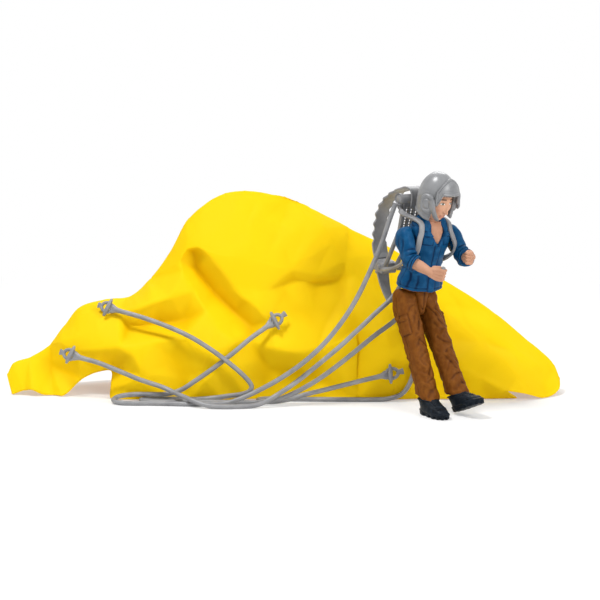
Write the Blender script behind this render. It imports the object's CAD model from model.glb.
# %% [markdown]
# # Toy parachute: the looks
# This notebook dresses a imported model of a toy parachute: a crumpled yellow canopy, four moulded
# lines and a small jointed parachutist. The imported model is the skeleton. Each piece made here
# takes its place from it and rides on one of its bodies, so that the joints still move it.

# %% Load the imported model
import math

import bmesh
import bpy
import numpy as np
from mathutils import Matrix, Vector, noise
from mathutils.geometry import delaunay_2d_cdt

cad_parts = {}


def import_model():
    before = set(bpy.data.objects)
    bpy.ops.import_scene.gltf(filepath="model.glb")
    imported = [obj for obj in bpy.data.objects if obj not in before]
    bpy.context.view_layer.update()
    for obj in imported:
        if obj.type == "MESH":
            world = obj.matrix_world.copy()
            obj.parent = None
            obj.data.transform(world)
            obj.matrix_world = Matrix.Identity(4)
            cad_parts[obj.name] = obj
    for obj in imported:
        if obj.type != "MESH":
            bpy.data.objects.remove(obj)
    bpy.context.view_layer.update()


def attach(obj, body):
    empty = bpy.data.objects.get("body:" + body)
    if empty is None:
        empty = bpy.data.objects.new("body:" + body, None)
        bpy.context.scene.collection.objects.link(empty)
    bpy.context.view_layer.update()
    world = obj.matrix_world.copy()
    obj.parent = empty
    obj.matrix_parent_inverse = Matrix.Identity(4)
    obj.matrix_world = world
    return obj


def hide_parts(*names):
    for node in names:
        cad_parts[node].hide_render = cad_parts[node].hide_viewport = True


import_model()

MM = 0.001

# %% [markdown]
# Each piece becomes an object of the scene. It rides on one body, takes its finish from a slot and
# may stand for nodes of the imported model, which then hide. Two short helpers say so in one line.

# %% Putting pieces in place
SIDES = {"right": -1, "left": 1}


def shown(name, data):
    """An object in the scene that shows a mesh, a curve, a lamp or a camera."""
    made = bpy.data.objects.new(name, data)
    bpy.context.scene.collection.objects.link(made)
    return made


def put(piece, body, slot, *replaced):
    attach(piece, body)
    if replaced:
        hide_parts(*replaced)


print("helpers for pieces ready")

# %% [markdown]
# ## Camera
# The photograph looks at the toy from a little above the table, through a long lens. A long lens
# keeps near and far pieces at almost one scale. The lens follows from how wide the toy is in the
# picture, and the height from how much of the floor shows.

# %% Camera
AIM = Vector((6.75, -5.7, 41.0)) * MM
DISTANCE = 720 * MM
LOOK_DOWN = math.radians(8)
LENS = 102.84

eye = bpy.data.cameras.new("camera")
eye.lens = LENS
eye.sensor_width = 36
camera = shown("camera", eye)
camera.location = AIM + Vector((0, -math.cos(LOOK_DOWN), math.sin(LOOK_DOWN))) * DISTANCE
camera.rotation_euler = (math.pi / 2 - LOOK_DOWN, 0, 0)
bpy.context.scene.camera = camera
print("camera at", [round(value, 3) for value in camera.location])

# %% [markdown]
# ## Shader sums
# A material's pattern is a sum: so much noise, times a mask, plus a base value. Wired by hand that
# is a wall of nodes. One small class holds a socket and turns Python's own signs into Math nodes,
# so that a pattern reads as a line of arithmetic. Colours go through Mix nodes, because a Math
# node would turn them grey.

# %% The socket class
class Wire:
    """A socket in a material, which can be added, multiplied and mixed."""

    def __init__(self, tree, socket=None):
        self.tree = tree
        self.socket = socket

    def feeds(self, socket):
        self.tree.links.new(self.socket, socket)

    def node(self, kind, settings=None, inputs=None, output=0):
        made = self.tree.nodes.new(kind)
        for name, value in (settings or {}).items():
            setattr(made, name, value)
        for key, value in (inputs or {}).items():
            if isinstance(value, Wire):
                value.feeds(made.inputs[key])
            else:
                made.inputs[key].default_value = value
        return Wire(self.tree, made.outputs[output])

    def math(self, operation, *values):
        return self.node("ShaderNodeMath", {"operation": operation}, dict(enumerate(values)))

    def __add__(self, other):
        return self.math("ADD", self, other)

    def __sub__(self, other):
        return self.math("SUBTRACT", self, other)

    def __rsub__(self, other):
        return self.math("SUBTRACT", other, self)

    def __mul__(self, other):
        return self.math("MULTIPLY", self, other)

    __radd__ = __add__
    __rmul__ = __mul__

    def sine(self):
        return self.math("SINE", self)

    def limited(self):
        return self.node("ShaderNodeClamp", None, {0: self})

    def step(self, low, high):
        """0 below low, 1 above high and smooth between."""
        return self.node(
            "ShaderNodeMapRange", {"interpolation_type": "SMOOTHSTEP"},
            {0: self, 1: low, 2: high, 3: 0.0, 4: 1.0},
        )

    def colour(self, start, end):
        """A colour between two, where this wire is the share of the second."""
        start, end = (value if isinstance(value, Wire) else (*value, 1) for value in (start, end))
        return self.node("ShaderNodeMix", {"data_type": "RGBA"}, {0: self, 6: start, 7: end}, 2)

    def parts(self):
        return [self.node("ShaderNodeSeparateXYZ", None, {0: self}, output) for output in range(3)]


print("socket class ready")

# %% [markdown]
# ## Finishes
# Every finish starts as a Principled shader with its plain values on its own sockets. What varies
# over the surface, such as colour, roughness and bump, is wired in. Patterns are laid out in the
# piece's own coordinates, in metres, so that a weave or a grain has its real size.

# %% Helpers for finishes
def finish(name, roughness, specular=0.5, **plain):
    """A material, its shader and the wire from which its nodes are made."""
    made = bpy.data.materials.new(name)
    made.use_nodes = True
    shader = made.node_tree.nodes["Principled BSDF"]
    for socket, value in {"Roughness": roughness, "Specular IOR Level": specular, **plain}.items():
        shader.inputs[socket.replace("_", " ")].default_value = value
    return made, shader, Wire(made.node_tree)


def connect(shader, colour, rough, normal):
    """Feeds what varies over a surface to the shader."""
    for wire, socket in ((colour, "Base Color"), (rough, "Roughness"), (normal, "Normal")):
        wire.feeds(shader.inputs[socket])


def half_and_half(made, share, shader, second):
    """Shows a share of a second shader over the first."""
    first = Wire(made.node_tree, shader.outputs[0])
    both = first.node("ShaderNodeMixShader", None, {0: share, 1: first, 2: second})
    both.feeds(made.node_tree.nodes["Material Output"].inputs["Surface"])


def place_of(wire):
    return wire.node("ShaderNodeTexCoord", None, None, "Object")


def speckle(wire, where, size, detail=2.0):
    """Noise whose lumps are about size metres across."""
    return wire.node("ShaderNodeTexNoise", None, {"Vector": where, "Scale": 1 / size, "Detail": detail})


def bump(wire, height, depth, strength=0.5):
    inputs = {"Height": height, "Distance": depth, "Strength": strength}
    return wire.node("ShaderNodeBump", None, inputs, "Normal")


def painted_depth(wire):
    """How deep a point lies in a fold, from 0 to 1, as stored on the mesh."""
    return wire.node("ShaderNodeAttribute", {"attribute_name": "hollow"}, None, "Fac")


print("finish helpers ready")

# %% [markdown]
# ### Nylon
# The canopy is thin woven nylon. Light passes through it, so its folds stay bright and its shade
# turns to a warm orange, not to grey. A share of Translucent shader does that. The weave is two
# sets of threads, each a sine wave along one direction of the cloth.

# %% Yellow nylon
THREAD = 0.42 * MM
CLOTH_YELLOW = (0.98, 0.675, 0.0)
CLOTH_DEEP = (0.80, 0.50, 0.0)
CLOTH_LIGHT = (1.0, 0.740, 0.01)
LIGHT_THROUGH = 0.26


def nylon():
    made, shader, wire = finish("yellow_nylon_cloth", 0.5, 0.05)
    across, along, _ = wire.node("ShaderNodeUVMap", {"uv_map": "cloth"}).parts()
    turn = 2 * math.pi / THREAD
    weave = (across * turn).sine() * (along * turn).sine() * 0.5 + 0.5
    slub = speckle(wire, place_of(wire), 1.1 * MM, 3.0)
    cloudy = speckle(wire, place_of(wire), 26 * MM)
    hollow = painted_depth(wire)
    shade = (weave * 0.12 + slub * 0.18 + cloudy * 0.35 + hollow * 0.5).limited()
    connect(
        shader, hollow.colour(shade.colour(CLOTH_LIGHT, CLOTH_YELLOW), CLOTH_DEEP), 0.44 + slub * 0.14,
        bump(wire, weave * 0.7 + slub * 0.5, 0.06 * MM, 0.6),
    )
    through = wire.node("ShaderNodeBsdfTranslucent", None, {"Color": (1.0, 0.72, 0.0, 1)})
    half_and_half(made, LIGHT_THROUGH, shader, through)
    return made


yellow_nylon = nylon()
print("finish:", yellow_nylon.name)

# %% [markdown]
# ### Moulded grey plastic
# Lines, rings and the pack are one matt grey vinyl. Its mould leaves a fine grain, and handling
# leaves the raised places a little smoother. Both come from noise at their real size.

# %% Grey plastic
def moulded(name, light, dark, roughness, grain, grain_depth, **plain):
    made, shader, wire = finish(name, roughness, **plain)
    where = place_of(wire)
    broad = speckle(wire, where, 4.5 * MM, 3.0)
    base = broad.step(0.3, 0.7).colour(light, dark)
    worn = (painted_depth(wire) * 0.75).colour(base, [value * 0.5 for value in dark])
    rough = roughness - 0.08 + broad * 0.16
    connect(shader, worn, rough, bump(wire, speckle(wire, where, grain), grain_depth))
    return made


grey_plastic = moulded(
    "grey_plastic_vinyl", (0.270, 0.270, 0.276), (0.205, 0.205, 0.213), 0.44, 0.35 * MM, 0.05 * MM,
)
helmet_plastic = moulded(
    "helmet_plastic_satin", (0.225, 0.229, 0.237), (0.190, 0.194, 0.202), 0.32, 0.25 * MM, 0.03 * MM,
    Coat_Weight=0.18, Coat_Roughness=0.25,
)
print("finishes:", grey_plastic.name, helmet_plastic.name)

# %% [markdown]
# ### Painted figure
# The figure is solid vinyl, painted by hand and then washed with a thin dark paint that stays in
# the folds. Each mesh stores how deep a point lies in a fold. That value darkens the paint there.

# %% Painted clothes, boots and skin
def painted(name, high, plain_colour, low, roughness, weave_size, weave_depth):
    """Paint with a high, a plain and a low colour, and with a weave of real size."""
    made, shader, wire = finish(name, roughness, 0.09)
    where = place_of(wire)
    x, y, z = where.parts()
    turn = 2 * math.pi / weave_size
    threads = ((x + y) * turn).sine() * (z * turn).sine()
    blotch = speckle(wire, where, 2.4 * MM, 4.0)
    rub = speckle(wire, where, 0.5 * MM)
    tone = (blotch.step(0.35, 0.75) * 0.8 + rub * 0.2).limited()
    wash = (painted_depth(wire) * 1.1 + blotch * 0.15 - 0.08).limited()
    connect(
        shader, wash.colour(tone.colour(plain_colour, high), low), roughness - 0.05 + blotch * 0.12,
        bump(wire, threads * 0.3 + rub * 0.7, weave_depth),
    )
    return made


blue_shirt = painted(
    "blue_shirt_paint", (0.012, 0.095, 0.225), (0.001, 0.052, 0.145), (0.0, 0.014, 0.052), 0.42,
    0.5 * MM, 0.05 * MM,
)
brown_trousers = painted(
    "brown_trousers_paint", (0.215, 0.074, 0.011), (0.145, 0.044, 0.005), (0.045, 0.011, 0.001), 0.50,
    0.5 * MM, 0.06 * MM,
)
dark_boots = painted(
    "dark_boots_paint", (0.013, 0.019, 0.027), (0.005, 0.008, 0.012), (0.003, 0.004, 0.006), 0.40,
    0.4 * MM, 0.05 * MM,
)
skin_paint = painted(
    "skin_paint", (0.55, 0.30, 0.20), (0.48, 0.25, 0.155), (0.34, 0.13, 0.070), 0.5, 0.6 * MM, 0.02 * MM,
)
print("finishes:", blue_shirt.name, brown_trousers.name, dark_boots.name, skin_paint.name)

# %% [markdown]
# ## Canopy
# The canopy has collapsed into a tent of stiff folds. Its fold lines are what the eye knows it by,
# so they come first: a ridge, a hem and the creases between, each a short row of points chosen by
# eye. Triangles between them give flat facets. Cutting each triangle in four and drawing the new
# points out along the smooth normals rounds the cloth, as thin nylon bows between its creases.

# %% The canopy's fold lines
# Each point is a share of the canopy's width, depth and height, in thousandths.
CANOPY_WIDTH = 236 * MM
CANOPY_HEIGHT = 85.5 * MM
CANOPY_DEPTH = 73 * MM
CANOPY_FRONT = -16.7 * MM
RIDGE_SHARES = (
    (0, 220, 100), (10, 240, 153), (40, 270, 180), (75, 310, 240), (100, 340, 330), (126, 370, 420),
    (173, 400, 457), (218, 420, 470), (254, 440, 560), (291, 460, 700), (324, 490, 860), (355, 500, 938),
    (391, 510, 990), (428, 510, 1000), (483, 510, 978), (547, 500, 912), (620, 500, 815), (712, 480, 689),
    (794, 450, 554), (885, 410, 390), (948, 360, 242), (993, 300, 123), (1000, 270, 71),
)
FRONT_HEM_SHARES = (
    (1000, 270, 71), (995, 180, 32), (966, 80, 5), (922, 0, 38), (894, -40, 55), (914, 50, 3), (860, 30, 3),
    (805, 20, 3), (740, 30, 3), (690, 10, 3), (630, 30, 3), (570, 0, 3), (510, 30, 3), (450, 30, 3),
    (395, 0, 3), (330, 20, 3), (262, 10, 3), (192, 50, 3), (190, 130, 62), (187, 210, 118), (162, 200, 110),
    (136, 180, 78), (102, 120, 6), (84, 150, 3), (66, 140, 11), (51, 130, 32), (34, 160, 26), (11, 170, 3),
)
FRONT_FOLD_SHARES = {
    "tail crease": ((40, 270, 180), (51, 130, 32)),
    "tail valley": ((75, 310, 240), (78, 260, 140), (84, 150, 3)),
    "tail crest": ((75, 310, 240), (96, 230, 264), (134, 200, 309), (170, 200, 349), (205, 240, 390)),
    "lower crest": (
        (96, 230, 225), (130, 150, 224), (173, 110, 238), (209, 90, 251), (262, 90, 278), (324, 100, 304),
        (386, 120, 334),
    ),
    "belly edge": ((209, 90, 251), (232, 60, 212), (247, 30, 125), (262, 10, 3)),
    "shoulder crest": ((205, 240, 390), (259, 220, 454), (295, 230, 484), (338, 260, 513)),
    "shoulder valley": (
        (205, 240, 390), (225, 240, 340), (262, 260, 350), (318, 250, 372), (362, 200, 416),
    ),
    "pocket left edge": (
        (324, 360, 712), (311, 350, 650), (317, 320, 598), (338, 260, 513), (362, 200, 416),
        (386, 120, 334),
    ),
    "pocket floor": (
        (335, 410, 690), (340, 410, 611), (370, 360, 506), (407, 280, 414), (440, 190, 345),
    ),
    "pocket right edge": (
        (324, 360, 712), (348, 330, 719), (366, 300, 680), (388, 260, 609), (407, 230, 547),
        (421, 200, 495), (439, 170, 464), (456, 140, 430), (468, 110, 375), (440, 90, 275),
    ),
    "dome fold": ((348, 330, 719), (421, 270, 683), (511, 250, 619), (561, 280, 595), (600, 310, 560)),
    "dome crest": ((391, 510, 990), (410, 420, 900), (436, 340, 790), (470, 280, 690)),
    "right crest": (
        (512, 510, 947), (545, 410, 850), (573, 370, 800), (597, 340, 730), (613, 320, 660),
        (631, 290, 580),
    ),
    "dent top": ((470, 200, 520), (520, 270, 560), (561, 300, 545)),
    "dent foot": ((500, 150, 420), (552, 190, 415), (610, 200, 430)),
    "front crest": (
        (386, 120, 334), (410, 80, 290), (440, 90, 275), (485, 10, 262), (530, 0, 243), (572, 40, 262),
        (630, 100, 300),
    ),
    "belly crest": ((410, 80, 290), (385, 30, 190), (366, -10, 90)),
    "belly valley": ((324, 100, 304), (305, 90, 190), (320, 60, 100)),
    "front notch": ((485, 10, 262), (470, 70, 150), (450, 30, 3)),
    "low fold": ((530, 0, 243), (548, 50, 120), (570, 0, 3)),
    "strap crest": (
        (672, 140, 400), (684, 80, 325), (690, 50, 230), (702, 30, 175), (715, 30, 110), (740, 30, 3),
    ),
    "strap valley": ((631, 140, 330), (630, 30, 3)),
    "right slope": ((712, 480, 689), (715, 350, 540), (735, 200, 360)),
    "wing crest": ((794, 450, 554), (790, 330, 430), (785, 200, 300), (780, 80, 210)),
    "wing edge": ((780, 80, 210), (805, 0, 184), (845, -30, 126), (894, -40, 55)),
    "wing roof": ((790, 330, 430), (855, 170, 270), (917, 220, 215), (962, 250, 150), (1000, 270, 71)),
    "wing fold": ((855, 170, 270), (890, 80, 190), (915, 30, 115), (942, 40, 40)),
    "upper slope": ((885, 410, 390), (855, 170, 270)),
}
BACK_HEM_SHARES = (
    (1000, 270, 71), (996, 360, 3), (960, 500, 3), (905, 660, 3), (840, 790, 3), (765, 860, 3),
    (690, 900, 3), (620, 940, 3), (540, 910, 3), (470, 940, 3), (400, 900, 3), (325, 840, 3), (250, 740, 3),
    (195, 660, 75), (130, 580, 85), (70, 470, 70), (20, 340, 60),
)
BACK_FOLD_SHARES = {
    "left gore": ((126, 370, 420), (130, 580, 85)),
    "left valley": ((218, 420, 470), (232, 530, 290), (250, 740, 3)),
    "shoulder gore": ((291, 460, 700), (295, 670, 360), (325, 840, 3)),
    "peak valley": ((355, 500, 938), (368, 600, 640), (384, 720, 330), (400, 900, 3)),
    "peak gore": ((428, 510, 1000), (440, 660, 730), (452, 800, 380), (470, 940, 3)),
    "saddle valley": ((547, 500, 912), (528, 660, 480), (540, 910, 3)),
    "right gore": ((620, 500, 815), (612, 740, 420), (620, 940, 3)),
    "right valley": ((712, 480, 689), (688, 670, 300), (690, 900, 3)),
    "wing gore": ((794, 450, 554), (774, 680, 260), (765, 860, 3)),
    "wing valley": ((885, 410, 390), (840, 790, 3)),
    "wing end": ((948, 360, 242), (905, 660, 3)),
}


# %% Triangles between the fold lines
def canopy_point(shares):
    across, deep, high = (share / 1000 for share in shares)
    return Vector(((across - 0.5) * CANOPY_WIDTH, CANOPY_FRONT + deep * CANOPY_DEPTH, high * CANOPY_HEIGHT))


def cloth_side(outline, folds):
    """The points and triangles of one side of the cloth, cut along its folds."""
    points = []
    numbers = {}

    def number(shares):
        key = (shares[0], shares[2])
        if key not in numbers:
            numbers[key] = len(points)
            points.append(canopy_point(shares))
        return numbers[key]

    rim = [number(shares) for shares in outline]
    edges = {(number(start), number(end)) for line in folds.values() for start, end in zip(line, line[1:])}
    flat = [Vector((point.x, point.z)) for point in points]
    found, _, faces, origins, _, _ = delaunay_2d_cdt(flat, list(edges), [rim], 1, 1e-7)
    placed = []
    for spot, source in zip(found, origins):
        if source:
            placed.append(points[source[0]])
        else:
            near = sorted(points, key=lambda point: (point.x - spot.x) ** 2 + (point.z - spot.y) ** 2)
            placed.append(Vector((spot.x, (near[0].y + near[1].y) / 2, spot.y)))
    return placed, faces


def joined_sides():
    """Both sides of the cloth in one, with every triangle facing out."""
    points = []
    numbers = {}
    faces = []
    for hem, folds, turned in (
        (FRONT_HEM_SHARES, FRONT_FOLD_SHARES, False), (BACK_HEM_SHARES, BACK_FOLD_SHARES, True),
    ):
        side_points, side_faces = cloth_side(RIDGE_SHARES + hem[1:], folds)
        local = []
        for point in side_points:
            key = tuple(round(value / CANOPY_WIDTH, 5) for value in point)
            if key not in numbers:
                numbers[key] = len(points)
                points.append(point)
            local.append(numbers[key])
        for face in side_faces:
            corners = [local[index] for index in face]
            a, b, c = (points[index] for index in corners)
            if ((b - a).cross(c - a).y > 0) != turned:
                corners.reverse()
            faces.append(corners)
    return np.array(points), np.array(faces)


coarse_points, coarse_faces = joined_sides()
print(len(coarse_faces), "triangles between the folds")

# %% Smooth values between stations
def unit(rows):
    return rows / np.maximum(np.linalg.norm(rows, axis=-1, keepdims=True), 1e-12)


def stretch(low, high, value):
    """0 at low and before it, 1 at high and past it, and smooth between."""
    share = np.clip((value - low) / (high - low), 0, 1)
    return share * share * (3 - 2 * share)


def travelled(points):
    """How far along a row of points each one lies."""
    return np.concatenate([[0], np.cumsum(np.linalg.norm(np.diff(points, axis=0), axis=1))])


def nearest(stretches):
    """How far points lie from a line, and their share of the way along it.

    Each stretch of the line gives the points, counted from its start, and its own run."""
    best, done = np.inf, 0.0
    for number, (flat, run) in enumerate(stretches):
        share = np.clip((flat @ run) / (run @ run), 0, 1)
        away = np.linalg.norm(flat - share[..., None] * run, axis=-1)
        nearer = away < best
        best = np.where(nearer, away, best)
        done = np.where(nearer, (number + share) / len(stretches), done)
    return best, done


def spline_rows(knots, values, at):
    """Catmull-Rom between stations, for values of any width."""
    knots, values, at = (np.asarray(item, float) for item in (knots, values, at))
    slopes = np.gradient(values, knots, axis=0)
    index = np.clip(np.searchsorted(knots, at, side="right") - 1, 0, len(knots) - 2)
    span = (knots[index + 1] - knots[index])[:, None]
    t = (at - knots[index])[:, None] / span
    return (
        (2 * t ** 3 - 3 * t ** 2 + 1) * values[index] + (t ** 3 - 2 * t ** 2 + t) * span * slopes[index]
        + (3 * t ** 2 - 2 * t ** 3) * values[index + 1] + (t ** 3 - t ** 2) * span * slopes[index + 1]
    )


# %% Rounding the cloth between its folds
ROUNDING_SHARES = (0.26, 0.22, 0.30, 0.45)


def sides_of(faces):
    """The two ends of each triangle's sides."""
    return np.concatenate([faces[:, [0, 1]], faces[:, [1, 2]], faces[:, [2, 0]]])


def neighbours(faces, total):
    """What takes values on points and gives the mean of each point's neighbours."""
    ends = sides_of(faces)
    count = np.bincount(ends.reshape(-1), minlength=total)[:, None]

    def mean(values):
        out = np.zeros_like(values)
        np.add.at(out, ends[:, 0], values[ends[:, 1]])
        np.add.at(out, ends[:, 1], values[ends[:, 0]])
        return out / count
    return mean


def normals_of(points, faces):
    a, b, c = (points[faces[:, corner]] for corner in range(3))
    across = np.cross(b - a, c - a)
    out = np.zeros_like(points)
    for corner in range(3):
        np.add.at(out, faces[:, corner], across)
    return unit(out)


def rounded(points, faces, share, paths=()):
    """Each triangle cut in four, with its new points drawn out along the normals at its corners."""
    normals = normals_of(points, faces)
    edges, index = np.unique(np.sort(sides_of(faces), axis=1), axis=0, return_inverse=True)
    middle = points[edges].mean(1)
    on_face = [
        middle - normals[end] * ((middle - points[end]) * normals[end]).sum(1, keepdims=True)
        for end in edges.T
    ]
    middle = middle + ((on_face[0] + on_face[1]) / 2 - middle) * share
    ab, bc, ca = (index.reshape(-1) + len(points)).reshape(3, -1)
    a, b, c = faces.T
    quarters = (a, ab, ca), (ab, b, bc), (ca, bc, c), (ab, bc, ca)
    finer = np.concatenate([np.stack(three, 1) for three in quarters])
    number_of = {tuple(edge): len(points) + row for row, edge in enumerate(edges.tolist())}
    finer_paths = []
    for path in paths:
        longer = [path[0]]
        for start, end in zip(path, path[1:]):
            longer += [number_of[min(start, end), max(start, end)], end]
        finer_paths.append(longer)
    return np.concatenate([points, middle]), finer, finer_paths


def fold_paths(points, faces):
    """Each fold line, the ridge and both hems as rows of point numbers joined by edges."""
    edges = {tuple(edge) for edge in np.sort(sides_of(faces), axis=1).tolist()}
    lines = [RIDGE_SHARES, FRONT_HEM_SHARES, BACK_HEM_SHARES]
    lines += [*FRONT_FOLD_SHARES.values(), *BACK_FOLD_SHARES.values()]
    paths = []
    for line in lines:
        row = [int(np.linalg.norm(points - canopy_point(shares), axis=1).argmin()) for shares in line]
        paths.append(row[:1])
        for start, end in zip(row, row[1:]):
            if (min(start, end), max(start, end)) in edges:
                paths[-1].append(end)
            else:
                paths.append([end])
    return [path for path in paths if len(path) > 2]


def curved(points, faces, paths, step, rounds, keep):
    """The folds as smooth curves through their own knots, with the cloth between led along."""
    moves = np.zeros_like(points)
    held = np.zeros(len(points), bool)
    for path in map(np.array, paths):
        lengths = travelled(points[path[::step]])
        at = np.interp(np.arange(len(path)) / step, np.arange(len(lengths)), lengths)
        moves[path] = spline_rows(lengths, points[path[::step]], at) - points[path]
        held[path] = True
    mean = neighbours(faces, len(points))
    fixed = moves[held]
    for _ in range(rounds):
        moves = mean(moves) * keep
        moves[held] = fixed
    return points + moves


def open_edges(faces):
    """The sheet's rim, each edge in its own face's direction."""
    ends = sides_of(faces)
    _, index, count = np.unique(np.sort(ends, axis=1), axis=0, return_inverse=True, return_counts=True)
    return ends[count[index.reshape(-1)] == 1]


def relaxed(points, faces, rounds):
    """Each point drawn halfway towards the middle of its neighbours, with the rim left alone."""
    fixed = np.unique(open_edges(faces))
    mean = neighbours(faces, len(points))
    for _ in range(rounds):
        moved = (points + mean(points)) / 2
        moved[fixed] = points[fixed]
        points = moved
    return points


cloth_points, cloth_faces, paths = coarse_points, coarse_faces, fold_paths(coarse_points, coarse_faces)
for share in ROUNDING_SHARES[:3]:
    cloth_points, cloth_faces, paths = rounded(cloth_points, cloth_faces, share, paths)
cloth_points = curved(cloth_points, cloth_faces, paths, 2 ** 3, 60, 0.985)
cloth_points = relaxed(cloth_points, cloth_faces, 1)
cloth_points, cloth_faces, _ = rounded(cloth_points, cloth_faces, ROUNDING_SHARES[3])
cloth_points = relaxed(cloth_points, cloth_faces, 1)
print(len(cloth_faces), "triangles in the cloth")

# %% [markdown]
# Nylon that has been folded away keeps a net of faint creases. They are added as small moves along
# the cloth's normals: long soft ripples down the fall of the cloth, sharp little ridges over them,
# and a fine crumple. Noise with a fixed field gives the same cloth on every run.

# %% Ripples, creases and crumple
RIPPLE = 0.28 * MM
CREASE = 0.10 * MM
CRUMPLE = 0.03 * MM
RIPPLE_SIZE = Vector((15, 15, 46)) * MM
CREASE_SIZE = Vector((17, 14, 21)) * MM
CRUMPLE_SIZE = Vector((4.2, 4.2, 5.5)) * MM


def field(point, size, seed):
    """Smooth noise at a point, with lumps of a size and from a place of its own."""
    return noise.noise(Vector((point[0] / size.x + seed, point[1] / size.y, point[2] / size.z)))


def wrinkle(point):
    ridge, fine = (
        max(1 - abs(field(point, CREASE_SIZE * size, seed)) * 4.2, 0) ** 2
        for size, seed in ((1, 11.3), (0.55, 47.1))
    )
    return (
        RIPPLE * field(point, RIPPLE_SIZE, 3.7) + CREASE * (ridge + fine * 0.5)
        + CRUMPLE * field(point, CRUMPLE_SIZE, 91.9)
    )


# %% [markdown]
# Over them lie a few sharp creases that the photograph shows. Each is a small roof along a line, or
# a small valley where its height is under nothing. It fades towards both of its ends.

# %% Sharp creases
SHARP_SPREAD = 5.0 * MM
SHARP_CREASES = (
    (1.3, ((440, 880), (476, 840), (518, 790), (576, 700))), (0.9, ((509, 652), (547, 675), (592, 752))),
    (-1.0, ((505, 509), (472, 388), (456, 277))), (1.0, ((505, 509), (555, 575), (609, 597))),
    (0.8, ((414, 272), (373, 233), (345, 120))), (0.8, ((112, 388), (203, 377), (290, 321))),
    (-0.9, ((613, 531), (572, 355), (551, 200))), (1.1, ((780, 486), (888, 270), (978, 100))),
    (-1.0, ((789, 558), (834, 342), (924, 174))), (0.7, ((381, 355), (364, 244), (356, 145))),
    (-0.8, ((660, 620), (690, 450), (700, 280))), (0.8, ((740, 600), (735, 430), (760, 250))),
    (-0.7, ((300, 700), (270, 580), (230, 470))),
)


def sharp_creases(points, normals):
    """Creases in the front, each with its height in mm and a line in thousandths of width and height."""
    out = np.zeros(len(points))
    front = np.clip((0.2 - normals[:, 1]) / 0.4, 0, 1)
    for height, line in SHARP_CREASES:
        spots = (np.array(line) / 1000 - (0.5, 0)) * (CANOPY_WIDTH, CANOPY_HEIGHT)
        flat = points[:, [0, 2]]
        away, done = nearest([(flat - start, end - start) for start, end in zip(spots, spots[1:])])
        fade = np.sin(np.clip(done, 0, 1) * math.pi) ** 0.6
        out += height * MM * np.exp(-away / SHARP_SPREAD) * fade * front
    return out


smooth_normals = normals_of(cloth_points, cloth_faces)
moves = np.array([wrinkle(point) for point in cloth_points]) + sharp_creases(cloth_points, smooth_normals)
moves[np.unique(open_edges(cloth_faces))] *= 0.3
cloth_points = cloth_points + smooth_normals * moves[:, None]
print("wrinkles of up to", round(float(np.abs(moves).max()) / MM, 2), "mm")

# %% [markdown]
# The cloth gets its two faces and a hem last. A sheet with a thickness takes light from both sides,
# and it never touches the floor, so that no two faces fight for one place. The shade of its hollows
# is stored on its points, and where each point lies on the flat cloth is stored for the weave.

# %% The cloth as a thin sheet
SHEET = 0.35 * MM
FLOOR_GAP = 0.15 * MM


def hollow_share(points, faces, rounds, depth):
    """How far each point lies under the surface round it, as a share of depth."""
    under = ((relaxed(points, faces, rounds) - points) * normals_of(points, faces)).sum(1)
    return np.clip(under / depth, 0, 1)


def build_mesh(name, points, faces, material, hollows=None, layout=None, smooth=True):
    """A mesh with its material, how deep its points lie in folds and, for cloth, its layout."""
    data = bpy.data.meshes.new(name)
    corners = [[int(index) for index in face] for face in faces]
    data.from_pydata([tuple(point) for point in points], [], corners)
    data.materials.append(material)
    if hollows is not None:
        stored = data.attributes.new("hollow", "FLOAT", "POINT").data
        stored.foreach_set("value", np.asarray(hollows, np.float32))
    if layout is not None:
        corners = np.empty(len(data.loops), np.int32)
        data.loops.foreach_get("vertex_index", corners)
        stored = data.uv_layers.new(name="cloth").data
        stored.foreach_set("uv", layout.astype(np.float32)[corners].reshape(-1))
    if smooth:
        data.shade_smooth()
    return shown(name, data)


def cloth_layout(points):
    """Where each point lies on the flat cloth: across it, and down from the ridge."""
    x, y, z = np.array([canopy_point(shares) for shares in RIDGE_SHARES]).T
    behind = points[:, 1] - np.interp(points[:, 0], x, y)
    down = np.hypot(behind, points[:, 2] - np.interp(points[:, 0], x, z))
    return np.stack([points[:, 0], down * np.where(behind < 0, -1.0, 1.0)], 1)


hollows = np.maximum(*(
    hollow_share(cloth_points, cloth_faces, rounds, depth * MM) for rounds, depth in ((24, 1.2), (90, 1.6))
))
outer = cloth_points.copy()
outer[:, 2] = np.maximum(outer[:, 2], SHEET + FLOOR_GAP)
inner = outer - normals_of(cloth_points, cloth_faces) * SHEET
inner[:, 2] = np.maximum(inner[:, 2], FLOOR_GAP)
count = len(outer)
shell = [*cloth_faces, *(cloth_faces[:, ::-1] + count)]
shell += [(end, start, start + count, end + count) for start, end in open_edges(cloth_faces)]
layout = cloth_layout(outer)
canopy = build_mesh(
    "canopy_cloth", [*outer, *inner], shell, yellow_nylon, [*hollows, *hollows],
    np.concatenate([layout, layout]),
)
a, b, c = (cloth_points[column] for column in cloth_faces.T)
area = float(np.linalg.norm(np.cross(b - a, c - a), axis=1).sum() / 2)
side = math.sqrt(area)
put(canopy, "parachute", "yellow_nylon", "canopy")
print("canopy:", len(shell), "faces, flat area", round(area * 1e4), "cm2")

# %% [markdown]
# ## Lines
# Four moulded lines run from the pack to the canopy. Each one is a free cord: it leaves the pack,
# comes down, lies in loops on the floor and rises to its ring. A curve object with a round bevel
# is the natural way to make it, because its own line is the route. The handles of a Bezier curve
# that are a sixth of the way between the neighbours give the smooth Catmull-Rom path.

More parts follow.
